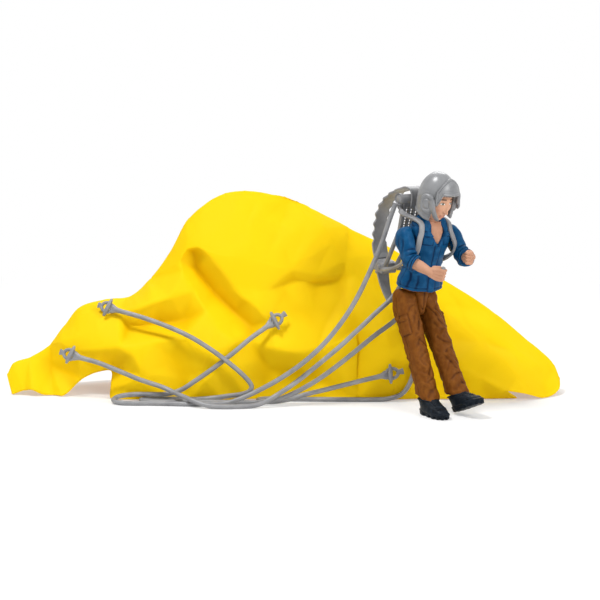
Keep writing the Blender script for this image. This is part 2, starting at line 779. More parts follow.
# %% The lines' routes, from the pack to the canopy
# Each point is in tenths of a millimetre, and each end a place on the canopy, as above.
LINE_DIAMETER = 2.0 * MM
LINE_ROUTES = {
    "line_1": (
        (452, -304, 838), (428, -302, 770), (392, -299, 660), (350, -297, 560), (303, -295, 460),
        (246, -292, 365), (172, -288, 270), (89, -283, 190), (1, -277, 125), (-84, -273, 75),
        (-166, -274, 36), (-235, -279, 14), (-305, -283, 9), (-385, -280, 9), (-465, -271, 9),
        (-545, -263, 9), (-612, -263, 9), (-662, -258, 10), (-696, -239, 12), (-704, -212, 17),
        (-683, -188, 24), (-635, -180, 30), (-560, -183, 32), (-495, -187, 33), (-430, -189, 50),
        (-366, -186, 90), (-290, -181, 143), (-212, -168, 202), (-140, -147, 260), (-85, -133, 298),
    ),
    "line_2": (
        (480, -175, 485), (466, -182, 462), (432, -198, 424), (384, -210, 382), (331, -221, 333),
        (284, -229, 290), (237, -237, 247), (150, -252, 176), (51, -272, 100), (-44, -295, 40),
        (-106, -313, 14), (-170, -328, 9), (-240, -335, 9), (-308, -327, 13), (-364, -304, 26),
        (-408, -271, 38), (-452, -237, 50), (-505, -209, 68), (-600, -185, 95), (-686, -161, 126),
        (-768, -135, 154), (-838, -113, 170),
    ),
    "line_3": (
        (520, -161, 485), (517, -163, 430), (496, -170, 380), (450, -179, 334), (370, -192, 276),
        (279, -207, 203), (192, -222, 137), (117, -235, 88), (26, -251, 42), (-44, -253, 19),
        (-120, -245, 10), (-220, -240, 9), (-320, -238, 9), (-420, -235, 9), (-500, -233, 9),
        (-552, -229, 9), (-588, -211, 9), (-588, -188, 9), (-560, -174, 9), (-515, -170, 9),
        (-440, -172, 9), (-360, -177, 10), (-285, -187, 18), (-225, -202, 29), (-172, -221, 40),
        (-138, -233, 58), (-136, -229, 84), (-175, -215, 126), (-242, -199, 180), (-310, -177, 226),
        (-386, -149, 268), (-480, -105, 304), (-590, -51, 335), (-690, -9, 357),
    ),
    "line_4": (
        (558, -137, 485), (560, -137, 420), (560, -141, 320), (554, -149, 210), (538, -161, 110),
        (500, -176, 40), (440, -183, 14), (360, -185, 9), (250, -183, 9), (140, -180, 9), (40, -174, 9),
        (-38, -168, 9), (-86, -172, 9), (-106, -194, 9), (-88, -219, 9), (-40, -226, 10), (20, -222, 18),
        (84, -217, 36), (213, -207, 66), (321, -199, 92), (385, -193, 106),
    ),
}
LINE_END_SHARES = {
    "line_1": (464, 46.6, 348.5),
    "line_2": (144.9, 74, 198.8),
    "line_3": (207.6, 200, 417.5),
    "line_4": (663.1, -35.6, 124),
}
FOLLOWING_SHARE = 0.3


def line_route(name):
    """The route, with its last stretch led to its place on the canopy."""
    route = np.array(LINE_ROUTES[name]) * (0.1 * MM)
    at = travelled(route)
    led = stretch(1 - FOLLOWING_SHARE, 1, at / at[-1])[:, None]
    route = route + (np.array(canopy_point(LINE_END_SHARES[name])) - route[-1]) * led
    route[:, 2] = np.maximum(route[:, 2], LINE_DIAMETER / 2)
    return [Vector(point) for point in route]


def cord_curve(name, route, diameter, material):
    """A round cord along a route, and its length."""
    data = bpy.data.curves.new(name, "CURVE")
    data.dimensions = "3D"
    data.bevel_depth = diameter / 2
    data.bevel_resolution = 5
    data.resolution_u = 9
    data.use_fill_caps = True
    spline = data.splines.new("BEZIER")
    spline.bezier_points.add(len(route) - 1)
    last = len(route) - 1
    for index, (knot, point) in enumerate(zip(spline.bezier_points, route)):
        handle = (route[min(index + 1, last)] - route[max(index - 1, 0)]) / (3 if index in (0, last) else 6)
        knot.co = point
        knot.handle_left_type = knot.handle_right_type = "FREE"
        knot.handle_left = point - handle
        knot.handle_right = point + handle
    data.materials.append(material)
    return shown(name, data), spline.calc_length()


print("routes ready")

# %% [markdown]
# Each line ends in a flat flare with a cross bar, a toggle, that is pushed through a ring on the
# canopy. Small mouldings like these are a few simple closed shapes put together in one mesh.

# %% Shapes for small mouldings
def square_to(direction, along):
    """The part of a direction that is square to another."""
    return (direction - along * direction.dot(along)).normalized()


def heading(route, index):
    """The direction of a route of points at one of them."""
    return (route[min(index + 1, len(route) - 1)] - route[max(index - 1, 0)]).normalized()


def joined(name, parts, place=Matrix()):
    """One grey moulding from several closed shapes, each given as a bmesh."""
    data = bpy.data.meshes.new(name)
    whole = bmesh.new()
    for part in parts:
        piece = bpy.data.meshes.new("part_of_" + name)
        part.to_mesh(piece)
        part.free()
        whole.from_mesh(piece)
        bpy.data.meshes.remove(piece)
    bmesh.ops.recalc_face_normals(whole, faces=whole.faces)
    whole.to_mesh(data)
    whole.free()
    data.materials.append(grey_plastic)
    data.shade_smooth()
    data.set_sharp_from_angle(angle=math.radians(60))
    data.transform(place)
    return shown(name, data)


def block(centre, size, edge):
    """A block with rounded edges."""
    made = bmesh.new()
    bmesh.ops.create_cube(made, size=1.0)
    bmesh.ops.scale(made, vec=Vector(size), verts=made.verts)
    bmesh.ops.bevel(
        made, geom=made.edges[:] + made.verts[:], offset=edge, segments=4, profile=0.5, affect="EDGES",
    )
    bmesh.ops.translate(made, vec=Vector(centre), verts=made.verts)
    return made


def oval(centre, across, out, sides):
    """Points on an oval, from its middle and its two half axes."""
    turns = np.linspace(0, 2 * math.pi, sides, endpoint=False)
    return [centre + across * math.cos(turn) + out * math.sin(turn) for turn in turns]


def skinned(loops, ring=False):
    """A closed bmesh over loops of points, capped at its ends or joined into a ring."""
    made = bmesh.new()
    loops = [[made.verts.new(point) for point in loop] for loop in loops]
    for low, high in zip(loops, loops[1:] + loops[:1] if ring else loops[1:]):
        for step, after in enumerate([*range(1, len(low)), 0]):
            made.faces.new((low[step], low[after], high[after], high[step]))
    if not ring:
        made.faces.new(loops[0][::-1])
        made.faces.new(loops[-1])
    return made


def tapered(path, sizes, facing, sides=24):
    """A rod whose half width and half thickness change along its path."""
    loops = []
    for index, (point, (wide, thick)) in enumerate(zip(path, sizes)):
        along = heading(path, index)
        out = square_to(facing, along)
        loops.append(oval(point, along.cross(out) * wide, out * thick, sides))
    return skinned(loops)


def rod(start, end, radius, sides=24):
    """A round bar with ends that are rounded over."""
    start, end = Vector(start), Vector(end)
    along = (end - start).normalized()
    across = along.orthogonal().normalized() * radius
    out = along.cross(across)
    ease = radius * 0.45
    rounding = ((0, 0.55), (ease * 0.3, 0.82), (ease, 1.0))
    places = [(start + along * at, share) for at, share in rounding]
    places += [(end - along * at, share) for at, share in rounding[::-1]]
    return skinned([oval(centre, across * share, out * share, sides) for centre, share in places])


def loop_of_wire(centre, along, across, half_long, half_wide, radius):
    """A closed oval ring of round wire."""
    facing = along.cross(across) * radius
    loops = []
    for turn in np.linspace(0, 2 * math.pi, 48, endpoint=False):
        ahead, aside = along * math.cos(turn), across * math.sin(turn)
        middle = centre + ahead * half_long + aside * half_wide
        loops.append(oval(middle, (ahead + aside) * radius, facing, 14))
    return skinned(loops, ring=True)


print("shapes ready")

# %% Toggles and rings
FLARE_LENGTH = 4.0 * MM
BAR_AHEAD = 1.9 * MM
TOGGLE_BAR = 8.2 * MM
RING_HALF_LONG = 2.6 * MM
RING_HALF_WIDE = 2.0 * MM
RING_WIRE = 0.72 * MM
TAB_LENGTH = 2.3 * MM
TOGGLE_LEAN = math.radians(-10)
FLARE_SHARES = ((-0.10, 1.0, 1.0), (0.45, 1.1, 1.0), (0.72, 1.5, 0.9), (1.0, 2.0, 0.7), (1.02, 1.7, 0.5))
BAR_SHARES = (
    (-0.5, 0.30), (-0.47, 0.48), (-0.36, 0.72), (-0.15, 0.92), (0.15, 0.92), (0.36, 0.72), (0.47, 0.48),
    (0.5, 0.30),
)
TAB_SHARES = ((0, 0, 0.85, 0.55), (0.6, 0.2, 1.15, 0.45), (1.0, 0.5, 1.35, 0.35))


def toggle_and_ring(number, route):
    """The flare, stem and cross bar at a line's end, and the ring with its tab on the cloth."""
    end = route[-1]
    along = heading(route, len(route) - 1)
    facing = square_to(Vector((0, -1, 0.25)), along)
    across = along.cross(facing)
    half = LINE_DIAMETER / 2
    flare = tapered(
        [end + along * (FLARE_LENGTH * at) for at, _, _ in FLARE_SHARES],
        [(half * wide, half * thick) for _, wide, thick in FLARE_SHARES], facing,
    )
    middle = end + along * (FLARE_LENGTH + BAR_AHEAD) + facing * 0.9 * MM
    stem_path = [end + along * FLARE_LENGTH * 0.9, middle - facing * 0.5 * MM, middle]
    stem = tapered(stem_path, [(0.62 * MM, 0.5 * MM)] * 3, facing, 16)
    lean = (across * math.cos(TOGGLE_LEAN) + along * math.sin(TOGGLE_LEAN)) * TOGGLE_BAR
    bar = tapered(
        [middle + lean * at for at, _ in BAR_SHARES],
        [(size * MM, size * MM * 1.15) for _, size in BAR_SHARES], facing,
    )
    toggle = joined(f"toggle_{number}_bar", [flare, stem, bar])
    put(toggle, "parachute", "grey_plastic", f"toggle_{number}")
    centre = end + along * (FLARE_LENGTH + RING_HALF_LONG)
    foot = centre + along * RING_HALF_LONG
    tab = tapered(
        [foot + (along * ahead - facing * under) * TAB_LENGTH for ahead, under, *_ in TAB_SHARES],
        [(wide * MM, thick * MM) for *_, wide, thick in TAB_SHARES], facing, 18,
    )
    ring = loop_of_wire(centre, along, across, RING_HALF_LONG, RING_HALF_WIDE, RING_WIRE)
    put(joined(f"ring_{number}_loop", [ring, tab]), "parachute", "grey_plastic", f"ring_{number}")
    return toggle


for number, name in enumerate(LINE_ROUTES, 1):
    route = line_route(name)
    line, length = cord_curve(f"cord_{number}", route, LINE_DIAMETER, grey_plastic)
    toggle_and_ring(number, route)
    put(line, "parachute", "grey_plastic", name)
    print(line.name, "is", round(length / MM), "mm long")

# %% [markdown]
# ## Figure: how its clothes are made
# A moulded figure is a set of solid pieces. Each sleeve, leg and shirt is a row of cross-sections
# along a limb, so it can be made as a skin over that row. The skin is laid out as a grid of angle
# and length, and every fold, seam and pocket is a small move along the normal at a place on that
# grid. It is the same as carving, but written down.

# %% The figure's frames
FIGURE_HIP = Vector((53.7, -29.7, 41.9)) * MM
FIGURE_TURN = math.radians(35)
LEAN_FORWARD = math.radians(13)
LEAN_LEFT = math.radians(0.9)
HEAD_TURN = math.radians(6)
HEAD_SEAT = 37.0 * MM

HIPS = Matrix.Translation(FIGURE_HIP) @ Matrix.Rotation(FIGURE_TURN, 4, "Z")
TORSO = HIPS @ Matrix.Rotation(LEAN_LEFT, 4, "Y") @ Matrix.Rotation(LEAN_FORWARD, 4, "X")
HEAD = TORSO @ Matrix.Translation((0, 0, HEAD_SEAT)) @ Matrix.Rotation(HEAD_TURN, 4, "Z")
ACROSS = Vector((1, 0, 0))
print("head seat at", [round(value / MM, 1) for value in HEAD.translation])


# %% Outlines and skins
def squared(turns, power):
    """Cosines and sines that draw a circle out into a box with round corners, as the power falls."""
    return [np.sign(wave) * np.abs(wave) ** power for wave in (np.cos(turns), np.sin(turns))]


def outline(station, turns):
    centre, across, deep, half_wide, half_deep, squareness = station
    c, s = squared(turns, squareness)
    return np.array(centre) + np.outer(c * half_wide, across) + np.outer(s * half_deep, deep)


def grid_quads(number, closed=True):
    """The faces of a grid of point numbers, whose rows go round or stay open."""
    here = number if closed else number[:, :-1]
    following = np.roll(number, -1, 1) if closed else number[:, 1:]
    return np.stack([here[:-1], following[:-1], following[1:], here[1:]], 2).reshape(-1, 4)


def grid_rim(number):
    return [*number[0], *number[1:, -1], *number[-1, ::-1][1:], *number[::-1, 0][1:-1]]


def triangles_of(quads):
    return np.concatenate([quads[:, [0, 1, 2]], quads[:, [0, 2, 3]]])


def stacked(rows, columns):
    """Faces over rows of points that each go round, with one face over either end."""
    number = np.arange(rows * columns).reshape(rows, columns)
    return [*grid_quads(number), number[0][::-1], number[-1]]


def finished_mesh(name, points, faces, material, place, hollows=None, sharp=None):
    """A closed mesh in its place, with its faces turned outwards and sharp past an angle in degrees."""
    made = build_mesh(name, points, faces, material, hollows)
    solid = bmesh.new()
    solid.from_mesh(made.data)
    bmesh.ops.recalc_face_normals(solid, faces=solid.faces)
    solid.to_mesh(made.data)
    solid.free()
    if sharp:
        made.data.set_sharp_from_angle(angle=math.radians(sharp))
    made.data.transform(place)
    return made


class Skin:
    """A closed skin over a row of stations, as a grid of rows along it and points round it."""

    def __init__(self, stations, around=96, along=110):
        turns = np.linspace(0, 2 * math.pi, around, endpoint=False)
        rough = np.array([outline(station, turns) for station in stations])
        knots = np.concatenate([[0], np.cumsum(np.linalg.norm(np.diff(rough, axis=0), axis=2).mean(1))])
        table = [[*centre, *across, *deep, *sizes] for centre, across, deep, *sizes in stations]
        rows = spline_rows(knots, table, np.linspace(0, knots[-1], along))
        rows[:, 9:11] = np.maximum(rows[:, 9:11], 0)
        self.grid = np.array([outline((row[0:3], row[3:6], row[6:9], *row[9:]), turns) for row in rows])
        self.length = knots[-1]
        self.radius = float(np.linalg.norm(self.grid - self.grid.mean(1, keepdims=True), axis=2).mean())
        self.share = np.repeat(np.linspace(0, 1, along)[:, None], around, 1)
        self.angle = np.repeat(np.degrees(turns)[None], along, 0)
        self.moves = np.zeros(self.share.shape)

    def beside(self, angle):
        """How far round the skin each point lies from an angle, in metres."""
        return ((self.angle - angle + 180) % 360 - 180) * math.radians(1) * self.radius

    def fold(self, line, width, height, taper=True):
        """A rounded ridge, or a crease where the height is under nothing, along (angle, share) places."""
        away, done = nearest([
            (
                np.stack([self.beside(turn), (self.share - rise) * self.length], -1),
                np.array((math.radians(end - turn) * self.radius, (top - rise) * self.length)),
            )
            for (turn, rise), (end, top) in zip(line, line[1:])
        ])
        fade = np.sin(np.clip(done, 0.02, 0.98) * math.pi) ** 0.6 if taper else 1.0
        self.moves += height * np.exp(-(away / width) ** 2) * fade

    def folds(self, middle, side, rows):
        """Folds beside an angle: each has a width and a height in mm, and (turn, share) places."""
        for width, height, *line in rows:
            self.fold([(middle + side * turn, share) for turn, share in line], width * MM, height * MM)

    def seam(self, line, width=0.2 * MM, depth=0.2 * MM):
        self.fold(line, width, -depth, False)

    def patch(self, angle, share, half_wide, half_long, height, edge=0.22 * MM):
        """A raised pocket, flap or strip with soft edges and a groove round it."""
        inside = np.minimum(
            half_wide - np.abs(self.beside(angle)), half_long - np.abs(self.share - share) * self.length,
        )
        groove = np.exp(-((inside + edge) / (edge * 0.8)) ** 2)
        self.moves += height * (stretch(-edge / 2, edge / 2, inside) - groove * 0.35)

    def ring(self, share, width, height):
        """A band round the whole skin."""
        self.moves += height * np.exp(-((self.share - share) * self.length / width) ** 2)

    def rumple(self, size, height, seed, long=1.0):
        """Lumps of about a size all over, drawn out in height where long is over 1."""
        step = Vector((size, size, size * long))
        found = [field(point, step, seed) for point in self.grid.reshape(-1, 3)]
        self.moves += height * np.reshape(found, self.share.shape)

    def finished(self, name, material, place, wash_depth=0.5 * MM, trim=None):
        """The skin as a piece, with its moves made, its ends closed and the wash in its hollows."""
        sideways = np.roll(self.grid, -1, 1) - np.roll(self.grid, 1, 1)
        normal = unit(np.cross(sideways, np.gradient(self.grid, axis=0)))
        outward = self.grid - self.grid.mean(1, keepdims=True)
        normal *= np.sign((normal * outward).sum(2).mean()) or 1.0
        points = self.grid + normal * self.moves[:, :, None]
        if trim:
            points = trim(points)
        soft = self.moves
        for _ in range(14):
            soft = (
                soft + np.roll(soft, 1, 1) + np.roll(soft, -1, 1)
                + np.vstack([soft[1:], soft[-1:]]) + np.vstack([soft[:1], soft[:-1]])
            ) / 5
        hollows = np.clip((soft - self.moves) / (wash_depth * 0.35), 0, 1)
        number = np.arange(soft.size).reshape(soft.shape)
        faces = [*grid_quads(number)]
        for middle, row in ((soft.size, number[0]), (soft.size + 1, number[-1])):
            faces += [(middle, start, end) for start, end in zip(row, np.roll(row, -1))]
        flat = [*points.reshape(-1, 3), points[0].mean(0), points[-1].mean(0)]
        return finished_mesh(name, flat, faces, material, place, [*hollows.reshape(-1), 0, 0])


def station(centre, wide, deep, square=0.9, across=ACROSS, back=Vector((0, 1, 0))):
    return (centre, across, back, wide / 2, deep / 2, square)


print("skin maker ready")

# %% [markdown]
# ### Shirt
# The shirt hangs out over the trousers: wide at its hem, drawn in at the waist and full at the
# chest. Folds fall from the armpits and cross at the waist where the body bends. It has a button
# strip, two chest pockets with flaps, and an open collar with a V of skin below the neck.

# %% Shirt
TORSO_HEIGHT = 37.5 * MM
TORSO_WIDTH = 20.0 * MM
TORSO_THICKNESS = 14.6 * MM
SHIRT_START = 8.9 * MM
TORSO_SECTION_SHARES = (
    (0.00, 0.00, 0.96, 0.98), (0.06, 0.00, 1.00, 1.00), (0.20, 0.00, 0.87, 0.95), (0.34, -0.01, 0.755, 0.89),
    (0.50, -0.02, 0.77, 0.91), (0.68, -0.03, 0.84, 0.95), (0.80, -0.02, 0.86, 0.93),
    (0.90, 0.00, 0.80, 0.80), (0.965, 0.02, 0.63, 0.62), (1.00, 0.03, 0.46, 0.50),
)
FRONT, BACK, LEFT, RIGHT = 270, 90, 0, 180
OUTER = {-1: RIGHT, 1: LEFT}
SHIRT_FRONT_FOLDS = (
    (0.7, 0.34, (34, 0.86), (16, 0.70), (4, 0.52)), (0.5, -0.40, (30, 0.78), (20, 0.62), (10, 0.48)),
    (0.7, 0.36, (40, 0.50), (10, 0.40), (-12, 0.42)), (0.5, -0.42, (44, 0.43), (12, 0.34), (-16, 0.36)),
    (0.6, 0.34, (36, 0.33), (8, 0.26), (-20, 0.29)), (0.8, -0.45, (20, 0.06), (14, 0.18), (24, 0.30)),
    (0.7, -0.36, (-8, 0.05), (-12, 0.16), (-6, 0.26)),
)
SHIRT_BACK_FOLDS = (
    (0.8, -0.42, (40, 0.86), (22, 0.66), (30, 0.42)), (0.8, 0.32, (20, 0.84), (12, 0.60), (16, 0.36)),
    (0.6, -0.40, (60, 0.40), (20, 0.33), (0, 0.36)), (0.8, -0.45, (30, 0.05), (24, 0.20)),
)


def sunk_top(points):
    """The last row drawn in and down, so that the head turns clear of the shirt."""
    points = points.copy()
    middle = points[-1].mean(0)
    points[-1] = middle + (points[-1] - middle) * 0.72 - (0, 0, 1.1 * MM)
    return points


def shirt():
    stations = [station(Vector((0, 0, SHIRT_START)), TORSO_WIDTH * 0.80, TORSO_THICKNESS * 0.80)]
    for rise, back, wide, deep in TORSO_SECTION_SHARES:
        centre = Vector((0, TORSO_THICKNESS * back, SHIRT_START + (TORSO_HEIGHT - SHIRT_START) * rise))
        stations.append(station(centre, TORSO_WIDTH * wide, TORSO_THICKNESS * deep))
    skin = Skin(stations, 132, 150)
    for side, outer in OUTER.items():
        skin.folds(FRONT + side * 48, side, SHIRT_FRONT_FOLDS)
        skin.folds(BACK, side, SHIRT_BACK_FOLDS)
        skin.seam([(outer, 0.06), (outer, 0.80)], 0.16 * MM, 0.14 * MM)
        skin.patch(FRONT + side * 33, 0.735, 1.9 * MM, 2.0 * MM, 0.34 * MM)
        skin.patch(FRONT + side * 33, 0.80, 2.1 * MM, 0.75 * MM, 0.34 * MM)
    skin.patch(FRONT, 0.44, 0.85 * MM, 13.5 * MM, 0.26 * MM)
    skin.ring(0.055, 0.5 * MM, 0.22 * MM)
    skin.ring(0.085, 0.18 * MM, -0.16 * MM)
    half_open = np.clip((skin.share - 0.66) / 0.22, 0, 1) * 3.9 * MM
    opening = np.clip((half_open - np.abs(skin.beside(FRONT))) / (0.35 * MM) + 0.5, 0, 1)
    skin.moves -= opening * (skin.share > 0.65) * 1.6 * MM
    skin.rumple(3.6 * MM, 0.28 * MM, 21.0)
    return skin.finished("shirt", blue_shirt, TORSO, trim=sunk_top)


put(shirt(), "parachute", "blue_shirt", "torso")
print("shirt made")


# %% Neck and the V of skin
def lathe(name, profile, material, place, sides):
    """A round moulding about its own Z axis, from (radius, height) pairs in mm."""
    turns = np.linspace(0, 2 * math.pi, sides, endpoint=False)
    points = [
        Vector((radius * math.cos(turn), radius * math.sin(turn), height)) * MM
        for radius, height in profile for turn in turns
    ]
    return finished_mesh(name, points, stacked(len(profile), sides), material, place, sharp=50)


def plate(name, front, back, material, hollows=None, sharp=None):
    """A thin closed plate on the torso, between two grids of points."""
    number = np.arange(front[..., 0].size).reshape(front.shape[:2])
    quads = grid_quads(number, False)
    rim = grid_rim(number)
    faces = [*quads, *(quads[:, ::-1] + number.size)]
    count = number.size
    faces += [(end, start, start + count, end + count) for start, end in zip(rim, rim[1:] + rim[:1])]
    points = [*front.reshape(-1, 3), *back.reshape(-1, 3)]
    return finished_mesh(name, points, faces, material, TORSO, hollows, sharp)


NECK_PROFILE_MM = (
    (2.6, 31.5), (3.0, 33.0), (3.15, 34.9), (3.1, 36.5), (2.95, 38.0), (2.9, 39.4), (2.88, 40.0),
)
put(lathe("neck_skin", NECK_PROFILE_MM, skin_paint, TORSO, 40), "parachute", "skin", "neck")
CHEST_ROWS_MM = (
    (36.8, 3.9, -3.7), (34.9, 3.8, -5.0), (33.0, 3.0, -5.9), (31.0, 2.0, -6.4), (28.8, 0.8, -6.6),
)


def chest():
    """The skin that shows in the open collar: a shallow shield behind the shirt's edges."""
    front = np.array([
        [(half * share, front + 0.75 * share ** 2 * half / 2.9, height) for share in np.linspace(-1, 1, 9)]
        for height, half, front in CHEST_ROWS_MM
    ])
    return plate("chest_skin", front * MM, (front + (0, 1.3, -0.2)) * MM, skin_paint)


put(chest(), "parachute", "skin")
print("neck and chest made")

# %% [markdown]
# ### Collar
# The collar is a band that stands round the neck and folds over, with a point on each side of the
# open V. It is a strip with a roof-shaped section, swept round the neck from one point to the other.

# %% Collar
COLLAR_STATIONS_MM = (
    (-62, 3.5, 34.2, 36.2, 30.6), (-46, 3.6, 35.4, 37.6, 31.2), (-30, 3.6, 36.0, 38.6, 32.8),
    (0, 3.6, 36.6, 39.3, 34.4), (30, 3.6, 36.9, 39.8, 35.4), (60, 3.6, 37.0, 40.2, 35.9),
    (90, 3.6, 37.0, 40.3, 36.0),
)
COLLAR_CLEAR = 0.55 * MM
COLLAR_THICKNESS = 0.55 * MM


def torso_sizes(rise):
    """How far back the shirt's middle lies, its width and its depth at a share of its height."""
    rises, *columns = zip(*TORSO_SECTION_SHARES)
    back, wide, deep = (np.interp(rise, rises, column) for column in columns)
    return TORSO_THICKNESS * back, TORSO_WIDTH * wide, TORSO_THICKNESS * deep


def shirt_reach(angle, height):
    """How far the shirt's surface lies from its middle at an angle and a height."""
    _, wide, deep = torso_sizes((height - SHIRT_START) / (TORSO_HEIGHT - SHIRT_START))
    return 1 / math.hypot(math.cos(angle) / (wide / 2), math.sin(angle) / (deep / 2))


def collar():
    """Each station has an angle, the foot's radius and height, and the heights of the roll and the edge."""
    knots = [row[0] for row in COLLAR_STATIONS_MM]
    at = np.linspace(knots[0], knots[-1], 30)
    rows = []
    table = spline_rows(knots, [row[1:] for row in COLLAR_STATIONS_MM], at)
    for turn, (foot, low, top, fall) in zip(at, table):
        angle = math.radians(turn)
        edge, bend = ((shirt_reach(angle, (fall + up) * MM) + COLLAR_CLEAR) / MM for up in (0, 1.6))
        rows.append([
            (math.cos(angle) * out, math.sin(angle) * out + 0.4, height) for out, height in (
                (foot, low), (foot + 0.25, (low + top) / 2), (foot + 0.75, top),
                (foot * 0.35 + bend * 0.65, max(top - 1.1, fall + 1.8)), (bend + 0.15, fall + 1.5),
                (edge, fall),
            )
        ])
    half = np.array(rows) * MM
    front = np.concatenate([half, half[-2::-1] * (-1, 1, 1)])
    flat = front.reshape(-1, 3)
    quads = grid_quads(np.arange(len(flat)).reshape(front.shape[:2]), False)
    back = flat - normals_of(flat, triangles_of(quads)) * COLLAR_THICKNESS
    shades = np.zeros(front.shape[:2])
    shades[:, -1] = shades[[0, -1]] = 0.85
    made = plate("collar", front, back, blue_shirt, [*shades.reshape(-1)] * 2, 55)
    soft = made.modifiers.new("soft", "SUBSURF")
    soft.levels = soft.render_levels = 1
    return made


put(collar(), "parachute", "blue_shirt")
print("collar made")

# %% [markdown]
# ### Sleeves and arms
# Each sleeve is a bent limb: a rounded shoulder, an elbow and a cuff that is rolled up twice. Folds
# gather inside the elbow. The forearm comes out of it and ends in a loosely closed hand.

# %% Sleeves
SHOULDER_HEIGHT = 30.0 * MM
SHOULDER_INSET = 9.0 * MM
SHOULDER_SLOPE = 0.35
ARM_WIDTH = 6.0 * MM
ARM_THICKNESS = 8.4 * MM
FOREARM = 9.8 * MM
FOREARM_WIDTH = 4.8 * MM
HAND_LENGTH = 6.8 * MM
HAND_WIDTH = 5.8 * MM
UPPER_ARM_SWING = math.radians(37)
ARM_POSES = {-1: (9.9 * MM, math.radians(-12), 2.7 * MM), 1: (12.2 * MM, math.radians(2), 3.6 * MM)}
FOREARM_INWARD = math.radians(22)
HAND_INWARD = math.radians(42)
LEFT_ARM_LIFT = math.radians(20)
SHOULDER = TORSO @ Matrix.Translation((0, 0, SHOULDER_HEIGHT))
SHOULDERS = {-1: SHOULDER, 1: SHOULDER @ Matrix.Rotation(-LEFT_ARM_LIFT, 4, "X")}


def hanging(swing):
    """The direction of a limb that hangs down and swings forwards by an angle."""
    return Vector((0, -math.sin(swing), -math.cos(swing)))


def arm_lines(side):
    """The upper arm's direction, its middle, the elbow, the forearm's direction and the sleeve's reach."""
    length, rise, reach = ARM_POSES[side]
    upper = hanging(UPPER_ARM_SWING)
    middle = ACROSS * (side * (SHOULDER_INSET + ARM_WIDTH / 2))
    level = math.cos(rise)
    fore = Vector((-side * math.sin(FOREARM_INWARD), -math.cos(FOREARM_INWARD) * level, math.sin(rise)))
    return upper, middle, middle + upper * length, fore, reach


def hand_frame(side):
    """The wrist, and the directions along the hand, across it and up through the fist."""
    _, _, elbow, fore, _ = arm_lines(side)
    way = Vector((-side * math.sin(HAND_INWARD), -math.cos(HAND_INWARD), -0.1)).normalized()
    across = square_to(ACROSS, way)
    up = across.cross(way)
    return elbow + fore * FOREARM, way, across, -up if up.z < 0 else up


def sleeve(name, side):
    upper, middle, elbow, fore, sleeve_end = arm_lines(side)
    cap = ARM_THICKNESS / 2
    rows = []
    for share in (-0.985, -0.9, -0.7, -0.4, 0.0):
        reach = math.sqrt(1 - share ** 2)
        wide = SHOULDER_SLOPE + (1 - SHOULDER_SLOPE) * reach
        inward = ACROSS * (-side * ARM_WIDTH / 2 * (1 - wide))
        rows.append(station(
            middle + inward + upper * (cap * share), ARM_WIDTH * wide, ARM_THICKNESS * reach, 0.88,
            ACROSS, ACROSS.cross(upper),
        ))
    turn = (upper + fore).normalized()
    cuff = elbow + fore * sleeve_end
    for at, along, wide, deep in (
        (middle.lerp(elbow, 0.45), upper, 0.99, 0.93), (middle.lerp(elbow, 0.80), upper, 0.97, 0.84),
        (elbow, turn, 0.97, 0.84), (elbow + fore * (sleeve_end * 0.5), fore, 0.99, 0.78),
        (cuff, fore, 0.95, 0.76),
        (cuff + fore * (0.02 * MM), fore, 0.72, 0.56),
    ):
        across = square_to(ACROSS, along)
        rows.append(station(at, ARM_WIDTH * wide, ARM_THICKNESS * deep, 0.95, across, across.cross(along)))
    skin = Skin(rows, 96, 140)
    outer, inner = OUTER[side], OUTER[-side]
    for place, width, height in (
        (0.90, 0.34, 0.34), (0.95, 0.30, 0.34), (0.865, 0.16, -0.34), (0.925, 0.12, -0.26),
    ):
        skin.ring(place, width * MM, height * MM)
    for angle, start, end, height in (
        (outer, 0.30, 0.62, -0.30), (outer + side * 34, 0.24, 0.58, 0.34),
        (outer - side * 30, 0.34, 0.66, -0.34),
        (inner, 0.42, 0.70, 0.26), (outer + side * 64, 0.40, 0.72, -0.40),
    ):
        skin.folds(angle, side, [(0.55, height, (0, start), (16, (start + end) / 2), (40, end))])
    for share, height in ((0.62, -0.42), (0.68, 0.34), (0.735, -0.42), (0.79, 0.30)):
        skin.folds(FRONT, 1, [(0.42, height, (-70, share), (0, share - 0.015), (70, share))])
        skin.folds(BACK, 1, [(0.5, height * 0.6, (-60, share + 0.02), (0, share), (60, share + 0.02))])
    skin.seam([(outer - 10, 0.03), (BACK, 0.09), (inner, 0.16)])
    skin.rumple(3.0 * MM, 0.24 * MM, 5.0 + side)
    return skin.finished(name, blue_shirt, SHOULDERS[side])


for name, side in SIDES.items():
    put(sleeve(f"sleeve_{name}_cloth", side), f"arm_{name}", "blue_shirt", f"sleeve_{name}")
print("sleeves made")

# %% [markdown]
# ### Hands
# A hand is a palm with four fingers that curl and a thumb that lies over them. Each finger is a
# short chain of balls and bars. A voxel remesh melts them into one skin, and a few rounds of
# smoothing leave the soft shapes that a mould gives.

# %% Forearms and hands
FINGER_PITCH_SHARES = (-0.34, -0.115, 0.115, 0.34)


def blob_chain(solid, points, radii, sides=12):
    """Tapered bars with round ends through a row of points, put into a bmesh."""
    for (start, end), (first, second) in zip(zip(points, points[1:]), zip(radii, radii[1:])):
        along = end - start
        turn = along.to_track_quat("Z", "Y").to_matrix().to_4x4()
        place = Matrix.Translation((start + end) / 2) @ turn
        bmesh.ops.create_cone(
            solid, cap_ends=True, segments=sides, radius1=first, radius2=second, depth=along.length,
            matrix=place,
        )
    for point, radius in zip(points, radii):
        bmesh.ops.create_icosphere(solid, subdivisions=2, radius=radius, matrix=Matrix.Translation(point))


